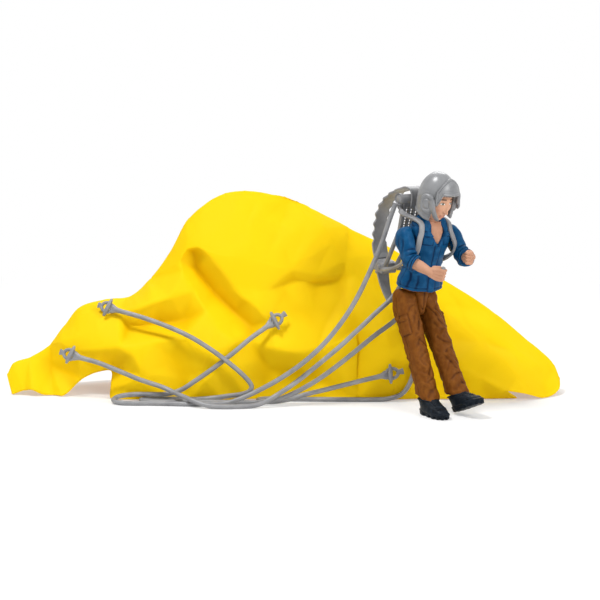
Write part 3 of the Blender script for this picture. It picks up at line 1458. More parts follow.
def melted(name, solid, voxel, rounds, material):
    """One skin over everything in a bmesh."""
    data = bpy.data.meshes.new(name)
    solid.to_mesh(data)
    solid.free()
    made = shown(name, data)
    remesh = made.modifiers.new("melt", "REMESH")
    remesh.mode = "VOXEL"
    remesh.voxel_size = voxel
    soften = made.modifiers.new("soften", "SMOOTH")
    soften.iterations = rounds
    soften.factor = 0.5
    one_skin = bpy.data.meshes.new_from_object(made.evaluated_get(bpy.context.evaluated_depsgraph_get()))
    made.modifiers.clear()
    made.data = one_skin
    one_skin.name = name
    one_skin.materials.clear()
    one_skin.materials.append(material)
    one_skin.shade_smooth()
    return made


def store_hollow(item, depth, rounds=8):
    """Stores how far each point lies in a dip, so that the wash can settle there."""
    data = item.data
    data.calc_loop_triangles()
    faces = np.empty(len(data.loop_triangles) * 3, np.int32)
    data.loop_triangles.foreach_get("vertices", faces)
    points = np.empty(len(data.vertices) * 3, np.float32)
    data.vertices.foreach_get("co", points)
    values = hollow_share(points.reshape(-1, 3).astype(float), faces.reshape(-1, 3), rounds, depth)
    layer = data.attributes.get("hollow") or data.attributes.new("hollow", "FLOAT", "POINT")
    layer.data.foreach_set("value", values.astype(np.float32))


def forearm(name, side):
    _, _, elbow, fore, reach = arm_lines(side)
    wrist, way, across, up = hand_frame(side)
    cuff = elbow + fore * reach
    palm_side = across * -side
    solid = bmesh.new()
    inside = cuff - fore * (1.2 * MM)
    blob_chain(
        solid, [inside, cuff.lerp(wrist, 0.35), cuff.lerp(wrist, 0.85), wrist],
        [FOREARM_WIDTH * 0.47, FOREARM_WIDTH * 0.47, FOREARM_WIDTH * 0.37, FOREARM_WIDTH * 0.34], 20,
    )
    knuckles = wrist + way * (HAND_LENGTH * 0.46)
    for share in FINGER_PITCH_SHARES:
        root = knuckles + up * (HAND_WIDTH * share)
        base = wrist + up * (HAND_WIDTH * share * 0.55)
        blob_chain(solid, [base, root], [0.95 * MM, 0.80 * MM])
        first = root + way * (1.9 * MM) + palm_side * (0.25 * MM)
        second = first + way * (0.5 * MM) + palm_side * (1.35 * MM)
        third = second - way * (1.25 * MM) + palm_side * (0.35 * MM)
        blob_chain(solid, [root, first, second, third], [0.80 * MM, 0.72 * MM, 0.66 * MM, 0.58 * MM])
    thumb_root = wrist + way * (0.9 * MM) + up * (HAND_WIDTH * 0.34) + palm_side * (0.5 * MM)
    thumb_bend = thumb_root + way * (1.9 * MM) + palm_side * (0.9 * MM) + up * (0.35 * MM)
    thumb_tip = thumb_bend + way * (1.5 * MM) + palm_side * (0.5 * MM) - up * (0.3 * MM)
    blob_chain(solid, [thumb_root, thumb_bend, thumb_tip], [0.95 * MM, 0.80 * MM, 0.62 * MM])
    made = melted(name, solid, 0.20 * MM, 3, skin_paint)
    store_hollow(made, 0.22 * MM)
    made.data.transform(SHOULDERS[side])
    return made


for name, side in SIDES.items():
    put(forearm(f"forearm_{name}_skin", side), f"arm_{name}", "skin", f"forearm_{name}")
print("hands made")

# %% [markdown]
# ### Trousers
# The seat is a wedge that widens upwards, and each leg is its own piece, because it swings on its
# own. The legs are trimmed to the wedge's slanted sides. Creases run out from the crotch, cross
# behind and in front of the knee, and stack up above the boot. A cargo pocket with a flap sits on
# the outer side of each thigh, and a seam runs down the side.

# %% Seat of the trousers
WEDGE_SLANT = math.radians(13)
WEDGE_FOOT = 1.1 * MM
WEDGE_DROP = 4.2 * MM
WEDGE_DEPTH = 10.4 * MM
SEAT_TOP = 9.4 * MM


def wedge_half(height):
    return WEDGE_FOOT + (height + WEDGE_DROP) * math.tan(WEDGE_SLANT)


def seat():
    """The wedge between the legs, rounded below, under a band that the shirt hides."""
    rows = []
    for height, deep in ((-3.6, 0.30), (-3.3, 0.60), (-2.4, 0.84), (0.0, 0.98), (3.4, 1.06), (6.4, 1.12)):
        half = wedge_half(height * MM) - 0.04 * MM
        rows.append(station(Vector((0, 0, height * MM)), 2 * half, WEDGE_DEPTH * deep, 0.55))
    skin = Skin(rows, 96, 90)
    skin.seam([(FRONT, 0.02), (FRONT, 0.98)], depth=0.16 * MM)
    skin.seam([(BACK, 0.02), (BACK, 0.98)])
    skin.fold([(FRONT - 30, 0.45), (FRONT + 30, 0.30)], 0.5 * MM, -0.25 * MM)
    skin.rumple(2.6 * MM, 0.2 * MM, 9.0)
    wedge = skin.finished("trouser_wedge", brown_trousers, HIPS)
    rows = [
        station(Vector((0, 0.2 * MM, height * MM)), 17.0 * MM * wide, 11.6 * MM * wide, 0.85)
        for height, wide in ((7.95, 0.90), (8.05, 0.97), (8.4, 1.0), (9.4, 0.98))
    ]
    band = Skin(rows, 96, 24).finished("trouser_band", brown_trousers, TORSO)
    return wedge, band


wedge, band = seat()
put(wedge, "parachute", "brown_trousers", "pelvis")
put(band, "parachute", "brown_trousers")
print("seat made")

# %% Trouser legs
HIP_RADIUS = 5.6 * MM
HIP_TOP = 7.6 * MM
HIP_SPREAD = 5.4 * MM
THIGH_WIDTH = 8.4 * MM
LEG_FRONT_CREASES = (
    (20, 0.24, 34, 0.050, -0.34), (-18, 0.31, 30, -0.060, 0.28), (6, 0.47, 40, 0.035, 0.34),
    (-22, 0.525, 36, -0.045, -0.42), (26, 0.575, 34, 0.050, 0.32), (-4, 0.62, 40, 0.030, -0.36),
    (30, 0.69, 26, -0.055, 0.26), (-28, 0.745, 30, 0.045, -0.30), (12, 0.80, 42, -0.030, 0.36),
    (-14, 0.845, 46, 0.028, -0.44), (24, 0.885, 40, -0.034, 0.38), (-6, 0.925, 56, 0.022, -0.40),
    (40, 0.955, 30, -0.020, 0.30),
)
LEG_BACK_CREASES = (
    (0, 0.52, 60, 0.02, -0.50), (0, 0.56, 60, -0.02, 0.40), (0, 0.60, 60, 0.02, -0.40),
    (0, 0.86, 70, 0.02, -0.42), (0, 0.91, 74, -0.02, 0.36),
)
LEG_LONG_FOLDS = (
    (26, 0.14, 0.46, -0.38), (44, 0.16, 0.42, 0.34), (8, 0.18, 0.52, 0.32), (60, 0.20, 0.36, -0.30),
    (30, 0.58, 0.84, -0.36), (50, 0.62, 0.82, 0.32), (72, 0.30, 0.56, 0.30), (90, 0.36, 0.62, -0.32),
    (84, 0.62, 0.86, 0.30), (14, 0.56, 0.78, 0.28), (104, 0.66, 0.90, -0.28),
)
LEGS = {
    "right": {
        "side": -1, "thigh": 17.4 * MM, "shin": 20.2 * MM, "thigh_swing": 21.5, "shin_swing": 21.5,
        "foot_turn": 9, "foot_rise": 0, "knee_spread": 4.6 * MM, "ankle_spread": 4.2 * MM,
    },
    "left": {
        "side": 1, "thigh": 18.0 * MM, "shin": 21.0 * MM, "thigh_swing": 32, "shin_swing": 27.5,
        "foot_turn": -2, "foot_rise": 22, "knee_spread": 5.6 * MM, "ankle_spread": 6.4 * MM,
    },
}


def leg_lines(pose):
    """The directions of thigh and shin, and the places of hip, knee and ankle."""
    thigh, shin = (hanging(math.radians(pose[part])) for part in ("thigh_swing", "shin_swing"))
    out = ACROSS * pose["side"]
    bend = thigh * pose["thigh"]
    ankle = bend + shin * pose["shin"] + out * pose["ankle_spread"]
    return thigh, shin, out * HIP_SPREAD, bend + out * pose["knee_spread"], ankle


def beside_wedge(side):
    """Keeps a leg's points on its own side of the wedge's slanted face."""
    axis = np.array((side * math.cos(WEDGE_SLANT), 0, -math.sin(WEDGE_SLANT)))
    face = np.array((side * wedge_half(0), 0, 0)) + axis * 0.05 * MM

    def trim(points):
        away = ((points - face) * axis).sum(-1, keepdims=True)
        return points - axis * np.minimum(away, 0)
    return trim


def trouser_leg(name, pose, seed):
    side = pose["side"]
    thigh, shin, hip, knee, ankle = leg_lines(pose)
    foot_rise = math.radians(pose["foot_rise"])
    rise = (Vector((0, 0, 1)) * 0.6 - thigh * 0.4).normalized()
    rows = []
    for share in (-0.995, -0.93, -0.78, -0.5, -0.2, 0.0):
        reach = (1 - abs(share) ** 2.8) ** (1 / 2.8)
        along = thigh.lerp(-rise, min(-share * 2, 1)).normalized()
        rows.append(station(
            hip - rise * (HIP_TOP * share), THIGH_WIDTH * (0.72 + 0.28 * reach), 2 * HIP_RADIUS * reach, 0.85,
            ACROSS, ACROSS.cross(along),
        ))
    hem = hanging(foot_rise - math.radians(17))
    end = ankle - hanging(foot_rise) * 0.25 * MM
    for at, along, wide, deep in (
        (hip.lerp(knee, 0.40), thigh, 8.55, 10.6), (hip.lerp(knee, 0.75), thigh, 8.45, 9.8),
        (knee, (thigh + shin).normalized(), 8.4, 9.4), (knee.lerp(ankle, 0.25), shin, 8.15, 8.95),
        (knee.lerp(ankle, 0.60), shin, 8.1, 9.25), (knee.lerp(ankle, 0.86), shin, 8.2, 9.5),
        (end, hem, 8.3, 9.6), (end + hanging(foot_rise) * 0.03 * MM, hem, 8.3 * 0.72, 9.6 * 0.72),
    ):
        rows.append(station(at, wide * MM, deep * MM, 0.93, ACROSS, ACROSS.cross(along)))
    skin = Skin(rows, 112, 200)
    outer, inner = OUTER[side], OUTER[-side]
    for middle, creases in ((FRONT, LEG_FRONT_CREASES), (BACK, LEG_BACK_CREASES)):
        for turn, share, length, tilt, height in creases:
            places = (-length, share + tilt), (0, share - tilt * 0.4), (length, share - tilt)
            skin.folds(middle + side * turn, 1, [(0.62, height * 1.05, *places)])
    for spread, start, end, height in LEG_LONG_FOLDS:
        line = (
            (inner + side * spread * 0.4, start), (FRONT - side * (60 - spread) * 0.5, (start + end) / 2),
            (FRONT + side * spread * 0.5, end),
        )
        skin.fold(line, 0.70 * MM, height * 1.05 * MM)
    pocket = outer - side * 12
    skin.patch(pocket, 0.355, 2.4 * MM, 3.4 * MM, 0.42 * MM, 0.5 * MM)
    skin.patch(pocket, 0.290, 2.6 * MM, 1.0 * MM, 0.26 * MM, 0.35 * MM)
    skin.seam([(outer, 0.10), (outer, 0.97)], depth=0.16 * MM)
    skin.seam([(inner, 0.12), (inner, 0.97)], depth=0.16 * MM)
    skin.ring(0.985, 0.3 * MM, 0.14 * MM)
    skin.ring(0.962, 0.14 * MM, -0.18 * MM)
    skin.rumple(2.4 * MM, 0.30 * MM, seed, 2.2)
    skin.rumple(1.1 * MM, 0.12 * MM, seed + 3, 1.6)
    return skin.finished(name, brown_trousers, HIPS, wash_depth=0.95 * MM, trim=beside_wedge(side))


for seed, (name, pose) in enumerate(LEGS.items()):
    put(trouser_leg(f"trouser_{name}", pose, 31.0 + seed * 7), f"leg_{name}", "brown_trousers", f"leg_{name}")
print("trouser legs made")

# %% [markdown]
# ### Boots
# A heavy boot: a thick sole with lugs cut into its edge, a heel block, a toe cap, a tongue with
# crossed laces and a padded collar round the ankle.

# %% Boots
BOOT_LENGTH = 17.6 * MM
BOOT_WIDTH = 8.0 * MM
ANKLE_HEIGHT = 6.6 * MM
BOOT_SECTION_SHARES = (
    (-0.80, 0.285, 0.470, 0.475), (-0.66, 0.275, 0.475, 0.490), (-0.52, 0.255, 0.455, 0.485),
    (-0.38, 0.18, 0.39, 0.475), (-0.22, 0.08, 0.30, 0.47), (-0.08, 0.02, 0.255, 0.48),
    (0.00, 0.00, 0.245, 0.485),
)
SOLE_SIDES = 180
SOLE_LEVELS = (
    (-1.00, 0.92), (-0.98, 0.98), (-0.86, 1.0), (-0.78, 1.0), (-0.74, 1.03), (-0.68, 1.03), (-0.65, 0.97),
    (-0.62, 0.93),
)
LUGS = 14


def boot_upper(place, name):
    rows = [
        station(
            Vector((0, -BOOT_LENGTH * forward, ANKLE_HEIGHT * rise)), BOOT_WIDTH * wide * 2,
            BOOT_LENGTH * long * 2, 0.88,
        )
        for rise, forward, long, wide in BOOT_SECTION_SHARES
    ]
    skin = Skin(rows, 104, 60)
    toe_cap = [(-62, 0.02), (-56, 0.30), (0, 0.44), (56, 0.30), (62, 0.02)]
    skin.fold([(FRONT + turn, share) for turn, share in toe_cap], 0.3 * MM, -0.30 * MM, False)
    skin.patch(FRONT, 0.78, 1.35 * MM, 2.2 * MM, 0.22 * MM)
    for share in (0.56, 0.66, 0.76, 0.86):
        for tilt, height in ((0.03, 0.30), (-0.03, 0.22)):
            skin.fold([(FRONT - 34, share + tilt), (FRONT + 34, share - tilt)], 0.17 * MM, height * MM, False)
    for share, width, height in ((0.95, 0.45, 0.26), (0.88, 0.16, -0.20), (0.04, 0.3, -0.22)):
        skin.ring(share, width * MM, height * MM)
    skin.seam([(BACK, 0.05), (BACK, 0.9)])
    heel = [(-50, 0.08), (-40, 0.5), (0, 0.58), (40, 0.5), (50, 0.08)]
    skin.seam([(BACK + turn, share) for turn, share in heel], 0.18 * MM)
    skin.rumple(2.6 * MM, 0.20 * MM, 64.0)
    return skin.finished(name, dark_boots, place)


def boot_sole(place, name):
    """The sole's outline, drawn in at the waist of the foot, with lugs round its edge."""
    turns = np.linspace(0, 2 * math.pi, SOLE_SIDES, endpoint=False)
    c, s = squared(turns, 0.85)
    waist = 1 - 0.13 * np.exp(-((s - 0.10) / 0.28) ** 2)
    lugs = 0.5 - 0.5 * np.tanh(3.2 * np.cos(turns * LUGS))
    points = []
    for rise, grown in SOLE_LEVELS:
        x = BOOT_WIDTH * 0.50 * c * waist * grown
        y = BOOT_LENGTH * 0.50 * s * grown
        kept = 1 - (0.80 if rise < -0.80 else 0.10) * MM * lugs / np.hypot(x, y)
        points += zip(x * kept, y * kept - BOOT_LENGTH * 0.29, [ANKLE_HEIGHT * rise] * SOLE_SIDES)
    return finished_mesh(name, points, stacked(len(SOLE_LEVELS), SOLE_SIDES), dark_boots, place, sharp=45)


def boot_place(pose):
    *_, ankle = leg_lines(pose)
    rise = math.radians(pose["foot_rise"])
    return (
        HIPS @ Matrix.Translation(ankle + hanging(rise) * 0.3 * MM) @ Matrix.Rotation(-rise, 4, "X")
        @ Matrix.Rotation(math.radians(pose["foot_turn"]) * pose["side"], 4, "Z")
    )


for name, pose in LEGS.items():
    put(boot_upper(boot_place(pose), f"boot_{name}_upper"), f"leg_{name}", "dark_boots", f"boot_{name}")
    put(boot_sole(boot_place(pose), f"boot_{name}_sole"), f"leg_{name}", "dark_boots")
print("boots made")

# %% [markdown]
# ## Head
# The head is a fine grid of angle and height round an oval. The face is carved into it in the same
# way as the clothes: each feature is a soft bump or hollow at its place. The places follow the
# drawing-book rules. The eyes lie halfway up, one eye's width apart. Hairline, brow, nose and chin
# are equal steps, and the mouth lies a third of the way from the nose to the chin.

# %% The head's oval and the face's places
HEAD_WIDTH = 11.0 * MM
HEAD_LENGTH = 12.6 * MM
HEAD_HEIGHT = 16.8 * MM
HEAD_CENTRE = Vector((0, -1.6 * MM, HEAD_HEIGHT / 2))
EYE_WIDTH = HEAD_WIDTH / 5
EYE_HEIGHT = HEAD_HEIGHT * 0.5
THIRD = HEAD_HEIGHT * 0.86 / 3
NOSE_BASE = THIRD
BROW = THIRD * 2
HAIRLINE = THIRD * 3
MOUTH = NOSE_BASE * 2 / 3
EAR_TURN = 1.66
EAR_RISE = THIRD * 1.55
EAR_HALF_TURN = 0.13
EAR_HALF_HEIGHT = 1.45 * MM
TINT_SKIN = (0.62, 0.34, 0.215)
TINT_BLUSH = (0.58, 0.235, 0.145)
TINT_LIPS = (0.46, 0.15, 0.11)
TINT_SHADE = (0.42, 0.17, 0.09)
TINT_HAIR = (0.050, 0.026, 0.014)
TINT_WHITE = (0.78, 0.76, 0.72)
TINT_IRIS = (0.060, 0.105, 0.055)
TINT_LASH = (0.014, 0.009, 0.007)


def hump(x, z, at_x, at_z, wide, high):
    """A soft round hump at a place of the face."""
    return np.exp(-((x - at_x) / wide) ** 2 - ((z - at_z) / high) ** 2)


def carved_face(x, z):
    """How far the face stands out at each place, in metres, counted from the plain oval."""
    side = np.abs(x)
    along_nose = np.clip((BROW * 0.94 - z) / (BROW * 0.94 - NOSE_BASE - 0.5 * MM), 0, 1)
    in_nose = stretch(NOSE_BASE - 0.45 * MM, NOSE_BASE + 0.25 * MM, z)
    in_nose = in_nose * stretch(BROW + 0.5 * MM, BROW - 1.2 * MM, z)
    bridge = np.exp(-(x / (0.50 * MM + 0.34 * MM * along_nose)) ** 2)
    out = 1.30 * MM * along_nose ** 1.15 * bridge * in_nose
    # Round forms: height in mm, place, and half width and half height in mm
    for height, at_side, at_z, wide, high in (
        (0.34, 0, NOSE_BASE + 0.45 * MM, 0.55, 0.50), (0.34, 0.82 * MM, NOSE_BASE + 0.34 * MM, 0.36, 0.40),
        (-0.62, EYE_WIDTH * 0.98, EYE_HEIGHT + 0.1 * MM, 1.35, 0.85),
        (-0.22, EYE_WIDTH * 0.50, EYE_HEIGHT + 0.2 * MM, 0.40, 0.60),
        (0.46, EYE_WIDTH, EYE_HEIGHT, 0.98, 0.56),
        (0.34, 1.9 * MM, BROW + 0.25 * MM, 1.55, 0.55), (0.26, 3.2 * MM, THIRD * 1.28, 1.15, 1.1),
        (-0.24, 3.0 * MM, THIRD * 0.62, 1.0, 1.1), (0.34, 0, MOUTH, 1.9, 1.15),
        (-0.10, 1.75 * MM, MOUTH, 0.3, 0.3),
        (-0.10, 0, NOSE_BASE - 0.45 * MM, 0.24, 0.5), (-0.22, 0, MOUTH - 1.05 * MM, 1.1, 0.38),
        (0.42, 0, MOUTH - 1.95 * MM, 1.35, 0.75),
    ):
        out += height * MM * hump(side, z, at_side, at_z, wide * MM, high * MM)
    from_eye = (side - EYE_WIDTH) ** 2 / MM
    lid = EYE_HEIGHT + 0.42 * MM - from_eye * 0.34 / 1.35 ** 2
    under = EYE_HEIGHT - 0.48 * MM + from_eye * 0.26 / 1.3 ** 2
    upper = MOUTH + 0.36 * MM + 0.10 * MM * np.exp(-((side - 0.42 * MM) / (0.34 * MM)) ** 2)
    # Thin forms: height in mm, the line they follow, half width in mm and where they show
    for height, line, width, seen in (
        (0.17, lid, 0.15, hump(side, z, EYE_WIDTH, EYE_HEIGHT + 0.3 * MM, 1.15 * MM, 1.1 * MM)),
        (-0.12, lid + 0.32 * MM, 0.13, hump(side, z, EYE_WIDTH, EYE_HEIGHT, 1.1 * MM, 1.5 * MM)),
        (0.10, under, 0.16, hump(side, z, EYE_WIDTH, EYE_HEIGHT, 1.0 * MM, 1.2 * MM)),
        (0.24, upper, 0.26, stretch(1.75 * MM, 0.9 * MM, side)),
        (0.30, MOUTH - 0.42 * MM, 0.32, stretch(1.55 * MM, 0.7 * MM, side)),
        (-0.26, MOUTH, 0.13, stretch(1.95 * MM, 1.2 * MM, side)),
    ):
        out += height * MM * np.exp(-((z - line) / (width * MM)) ** 2) * seen
    return out


print("face places set, eyes at", round(EYE_HEIGHT / MM, 1), "mm above the chin")


# %% The head's grid
def head_grid():
    """Turn round the head, from the face, and rise: closer together over the face."""
    even = np.linspace(-1, 1, 281)[:-1]
    turns = math.pi * (0.46 * even + 0.54 * even ** 3)
    rises = np.radians(np.linspace(-80, 86, 190))
    turn, rise = np.meshgrid(turns, rises)
    flat, up = np.cos(rise), np.sin(rise)
    behind = np.where(np.abs(turn) < math.pi / 2, 1.0, 0.6)
    narrow = 1 - 0.20 * np.maximum(-up, 0) ** 1.3 * behind
    x = np.sin(turn) * flat * HEAD_WIDTH / 2 * narrow
    y = -np.cos(turn) * flat * HEAD_LENGTH / 2 * narrow
    z = up * HEAD_HEIGHT / 2
    return turn, rise, np.stack([x, y, z], 2)


def blend(start, end, share):
    return start + (np.asarray(end) - start) * share[..., None]


def face_colours(x, z, turn, hair):
    """The painted face: blush, lips, eyes with iris and lash line, brows and hair."""
    side = np.abs(x)
    across = (side - EYE_WIDTH) / (EYE_WIDTH * 0.48)
    at = z - EYE_HEIGHT
    bow = np.clip(1 - across ** 2, 0, 1)
    top, foot = 0.43 * MM * bow ** 0.62, -0.36 * MM * bow ** 0.8
    inside = stretch(-0.07 * MM, 0.05 * MM, np.minimum(top - at, at - foot)) * (np.abs(across) < 1.0)
    from_iris = np.hypot(side - EYE_WIDTH, at - 0.05 * MM)
    from_glint = np.hypot(x - np.sign(x) * EYE_WIDTH + 0.15 * MM, at - 0.22 * MM)
    lips = np.maximum(*(
        np.exp(-((z - MOUTH - middle * MM) / (half * MM)) ** 4)
        for middle, half in ((0.30, 0.26), (-0.38, 0.30))
    ))
    mouth_line = np.exp(-((z - MOUTH) / (0.10 * MM)) ** 2) * stretch(1.9 * MM, 1.5 * MM, side)
    lash = np.exp(-((at - top - 0.03 * MM) / (0.11 * MM)) ** 2) * (np.abs(across) < 1.12)
    low_lash = np.exp(-((at - foot + 0.03 * MM) / (0.07 * MM)) ** 2) * (np.abs(across) < 0.95)
    arch = BROW + 0.36 * MM + 0.22 * MM * np.cos((side - 2.4 * MM) / (1.3 * MM))
    thick = 0.24 * MM * stretch(3.8 * MM, 2.4 * MM, side) + 0.07 * MM
    brow = np.exp(-((z - arch) / thick) ** 4) * stretch(0.75 * MM, 1.15 * MM, side)
    front = stretch(1.35, 1.05, np.abs(turn))
    colour = np.broadcast_to(np.array(TINT_SKIN), (*x.shape, 3))
    for tint, share in (
        (TINT_BLUSH, 0.42 * hump(side, z, 3.0 * MM, THIRD * 1.18, 1.3 * MM, 1.1 * MM)),
        (TINT_BLUSH, 0.25 * hump(x, z, 0, NOSE_BASE + 0.4 * MM, 0.9 * MM, 0.7 * MM)),
        (TINT_LIPS, 0.72 * lips * stretch(1.75 * MM, 1.35 * MM, side)),
        (TINT_SHADE, 0.75 * mouth_line),
        (TINT_SHADE, 0.75 * hump(side, z, 0.50 * MM, NOSE_BASE - 0.05 * MM, 0.22 * MM, 0.14 * MM)),
        (TINT_SHADE, 0.30 * hump(side, z, EYE_WIDTH, EYE_HEIGHT + 0.1 * MM, 1.25 * MM, 0.75 * MM)),
        (TINT_WHITE, inside),
        (TINT_IRIS, stretch(0.50 * MM, 0.42 * MM, from_iris) * inside),
        (TINT_LASH, stretch(0.25 * MM, 0.18 * MM, from_iris) * inside),
        ((1.0, 1.0, 1.0), 0.9 * stretch(0.13 * MM, 0.08 * MM, from_glint) * inside),
        (TINT_LASH, 0.92 * lash),
        (TINT_SHADE, 0.6 * low_lash),
        (TINT_HAIR, 0.88 * brow * stretch(3.95 * MM, 3.4 * MM, side)),
    ):
        colour = blend(colour, tint, share * front)
    return blend(colour, TINT_HAIR, hair)


def head_piece():
    turn, rise, grid = head_grid()
    centre = np.array(HEAD_CENTRE)
    away = np.abs(turn)
    x = grid[:, :, 0]
    z = grid[:, :, 2] + centre[2]
    front = stretch(1.45, 1.1, away)
    line = HAIRLINE - 2.16 * MM * stretch(1.2 * MM, 4.6 * MM, np.abs(x))
    over = stretch(-0.25 * MM, 0.30 * MM, z - line) * front
    nape = stretch(THIRD * 0.62, THIRD * 0.80, z) * stretch(1.55, 1.85, away)
    temple = stretch(THIRD * 1.15, THIRD * 1.3, z) * stretch(1.16, 1.30, away) * stretch(2.1, 1.8, away)
    ear = hump(away, z, EAR_TURN, EAR_RISE, EAR_HALF_TURN, EAR_HALF_HEIGHT)
    hair = np.maximum(np.maximum(over, nape), temple) * (1 - stretch(0.25, 0.6, ear))
    strands = np.sin(turn * 46 + 4 * np.sin(rise * 3)) * 0.6 + np.sin(turn * 91 + rise * 7) * 0.4
    from_ear = np.hypot((away - EAR_TURN) / EAR_HALF_TURN, (z - EAR_RISE) / EAR_HALF_HEIGHT)
    rim_of_ear = np.exp(-((from_ear - 0.9) / 0.28) ** 2) * (away > 1.4) * (away < 1.95)
    lift = carved_face(x, z) * front + hair * (0.42 * MM + 0.10 * MM * strands * np.cos(rise) ** 2)
    lift += ear * 0.30 * MM + rim_of_ear * 0.42 * MM
    flat = (grid + unit(grid) * lift[:, :, None] + centre).reshape(-1, 3)
    faces = stacked(*turn.shape)
    hollows = hollow_share(flat, triangles_of(np.array(faces[:-2])), 10, 0.30 * MM)
    made = finished_mesh("head_skin", flat, faces, painted_face, HEAD, hollows)
    shades = np.concatenate([face_colours(x, z, turn, hair), np.ones((*x.shape, 1))], 2).astype(np.float32)
    made.data.attributes.new("paint", "FLOAT_COLOR", "POINT").data.foreach_set("color", shades.reshape(-1))
    return made


def face_finish():
    """Skin paint whose colours are stored on the mesh, with the wash in its hollows."""
    made, shader, wire = finish("face_paint", 0.5, 0.35)
    paint = wire.node("ShaderNodeAttribute", {"attribute_name": "paint"}, None, "Color")
    fine = speckle(wire, place_of(wire), 0.5 * MM)
    deep = (painted_depth(wire) * 0.55).colour(paint, TINT_SHADE)
    connect(shader, deep, 0.44 + fine * 0.12, bump(wire, fine, 0.015 * MM))
    return made


painted_face = face_finish()
put(head_piece(), "head", "skin", "head")
print("head made")

# %% [markdown]
# ## Helmet
# The helmet is a thick shell round the head, cut away over the face. It is laid out like the head,
# as a grid of turn and rise, with an outer and an inner face and a rounded edge between them. Its
# rim bead, middle band and seams are small moves of the outer face.

# %% The helmet's surfaces
HELMET_WALL = 1.0 * MM
HELMET_WIDTH = 14.5 * MM
HELMET_LENGTH = 16.2 * MM
HELMET_HEIGHT = 10.4 * MM
HELMET_TUCK = 0.06
HELMET_CENTRE = HEAD_CENTRE + Vector((0, HEAD_LENGTH * 0.03, HEAD_HEIGHT * 0.06))


def helmet_surface(turn, rise, grown):
    flat = np.where(rise > 0, np.cos(rise), 1 - HELMET_TUCK * np.sin(rise) ** 2)
    return np.stack([
        np.sin(turn) * flat * (HELMET_WIDTH / 2 + grown),
        -np.cos(turn) * flat * (HELMET_LENGTH / 2 + grown),
        np.sin(rise) * (HELMET_HEIGHT + grown),
    ], -1) + np.array(HELMET_CENTRE)


def walled(name, turn, rise, outer, inner, closed=True):
    """A wall of helmet plastic over a grid of turn and rise, with a rounded edge where it is open."""
    out = helmet_surface(turn, rise, outer)
    back = helmet_surface(turn, rise, inner)
    middle = (out + back) / 2
    half = float(np.mean(np.linalg.norm(out - back, axis=2))) * 0.42
    low, high, first, last = (
        unit(end - beside) * half for end, beside in (
            (middle[0], middle[1]), (middle[-1], middle[-2]), (middle[:, 0], middle[:, 1]),
            (middle[:, -1], middle[:, -2]),
        )
    )
    number = np.arange(turn.size).reshape(turn.shape)
    edges = [(number[0], low), (number[-1], high)]
    if not closed:
        edges = [(grid_rim(number), [*low, *last[1:], *high[::-1][1:], *first[::-1][1:-1]])]
    quads = grid_quads(number, closed)
    faces = [*quads, *(quads[:, ::-1] + turn.size)]
    points = [*out.reshape(-1, 3), *back.reshape(-1, 3)]
    for path, bulge in edges:
        added = np.arange(len(path)) + len(points)
        points += [*(middle.reshape(-1, 3)[path] + bulge)]
        faces += [*grid_quads(np.array([path, added, np.array(path) + turn.size]))]
    return finished_mesh(name, points, faces, helmet_plastic, HEAD)


def rim_of(turn):
    """How low the helmet's edge reaches, in radians, at a turn from the face."""
    away = np.abs(turn)
    brow, cheek, nape = math.radians(17), math.radians(-50), math.radians(-36)
    opening, change = math.radians(50), math.radians(14)
    low = brow + (cheek - brow) * stretch(opening, opening + change, away)
    return low + (nape - cheek) * stretch(opening + change, opening + change + math.radians(60), away)


def helmet_shell():
    fine = np.radians(np.concatenate([
        np.linspace(-46, 46, 60), np.linspace(47, 72, 44), np.linspace(74, 286, 96),
        np.linspace(288, 313, 44),
    ]))
    turns = np.where(fine > math.pi, fine - 2 * math.pi, fine)
    share = np.linspace(0, 1, 64) ** 0.9
    low = rim_of(turns)
    rise = low[None] + (math.radians(89.5) - low[None]) * share[:, None]
    turn = np.broadcast_to(turns[None], rise.shape)
    flat = helmet_surface(turn, rise, 0)
    from_rim = np.linalg.norm(flat - flat[:1], axis=2)
    grown = 0.24 * MM * stretch(1.15 * MM, 0.85 * MM, from_rim)
    grown -= 0.10 * MM * np.exp(-((from_rim - 1.25 * MM) / (0.16 * MM)) ** 2)
    middle = np.abs(flat[:, :, 0])
    band = stretch(2.0 * MM, 0.7 * MM, middle) * stretch(math.radians(86), math.radians(70), rise)
    grown += 0.16 * MM * band
    side_seam = np.abs(np.abs(turn) - math.radians(118))
    grown -= 0.12 * MM * np.exp(-(side_seam / 0.018) ** 2) * (rise < math.radians(48)) * (from_rim > 1.3 * MM)
    level = np.exp(-((rise - math.radians(20)) / 0.020) ** 2) * stretch(1.30, 1.45, np.abs(turn))
    grown -= 0.12 * MM * level * stretch(2.9, 2.5, np.abs(turn))
    return walled("helmet_dome", turn, rise, grown, -HELMET_WALL)


put(helmet_shell(), "helmet", "helmet_plastic", "helmet_shell")

crown = HELMET_CENTRE + Vector((0, 0, HELMET_HEIGHT))
CAP_PROFILE_MM = ((0.30, -0.50), (0.32, -0.10), (0.27, -0.01), (0.16, 0.01), (0.02, 0.015))
cap = lathe("helmet_crown", CAP_PROFILE_MM, helmet_plastic, HEAD @ Matrix.Translation(crown), 32)
put(cap, "helmet", "helmet_plastic")
print("helmet shell made")


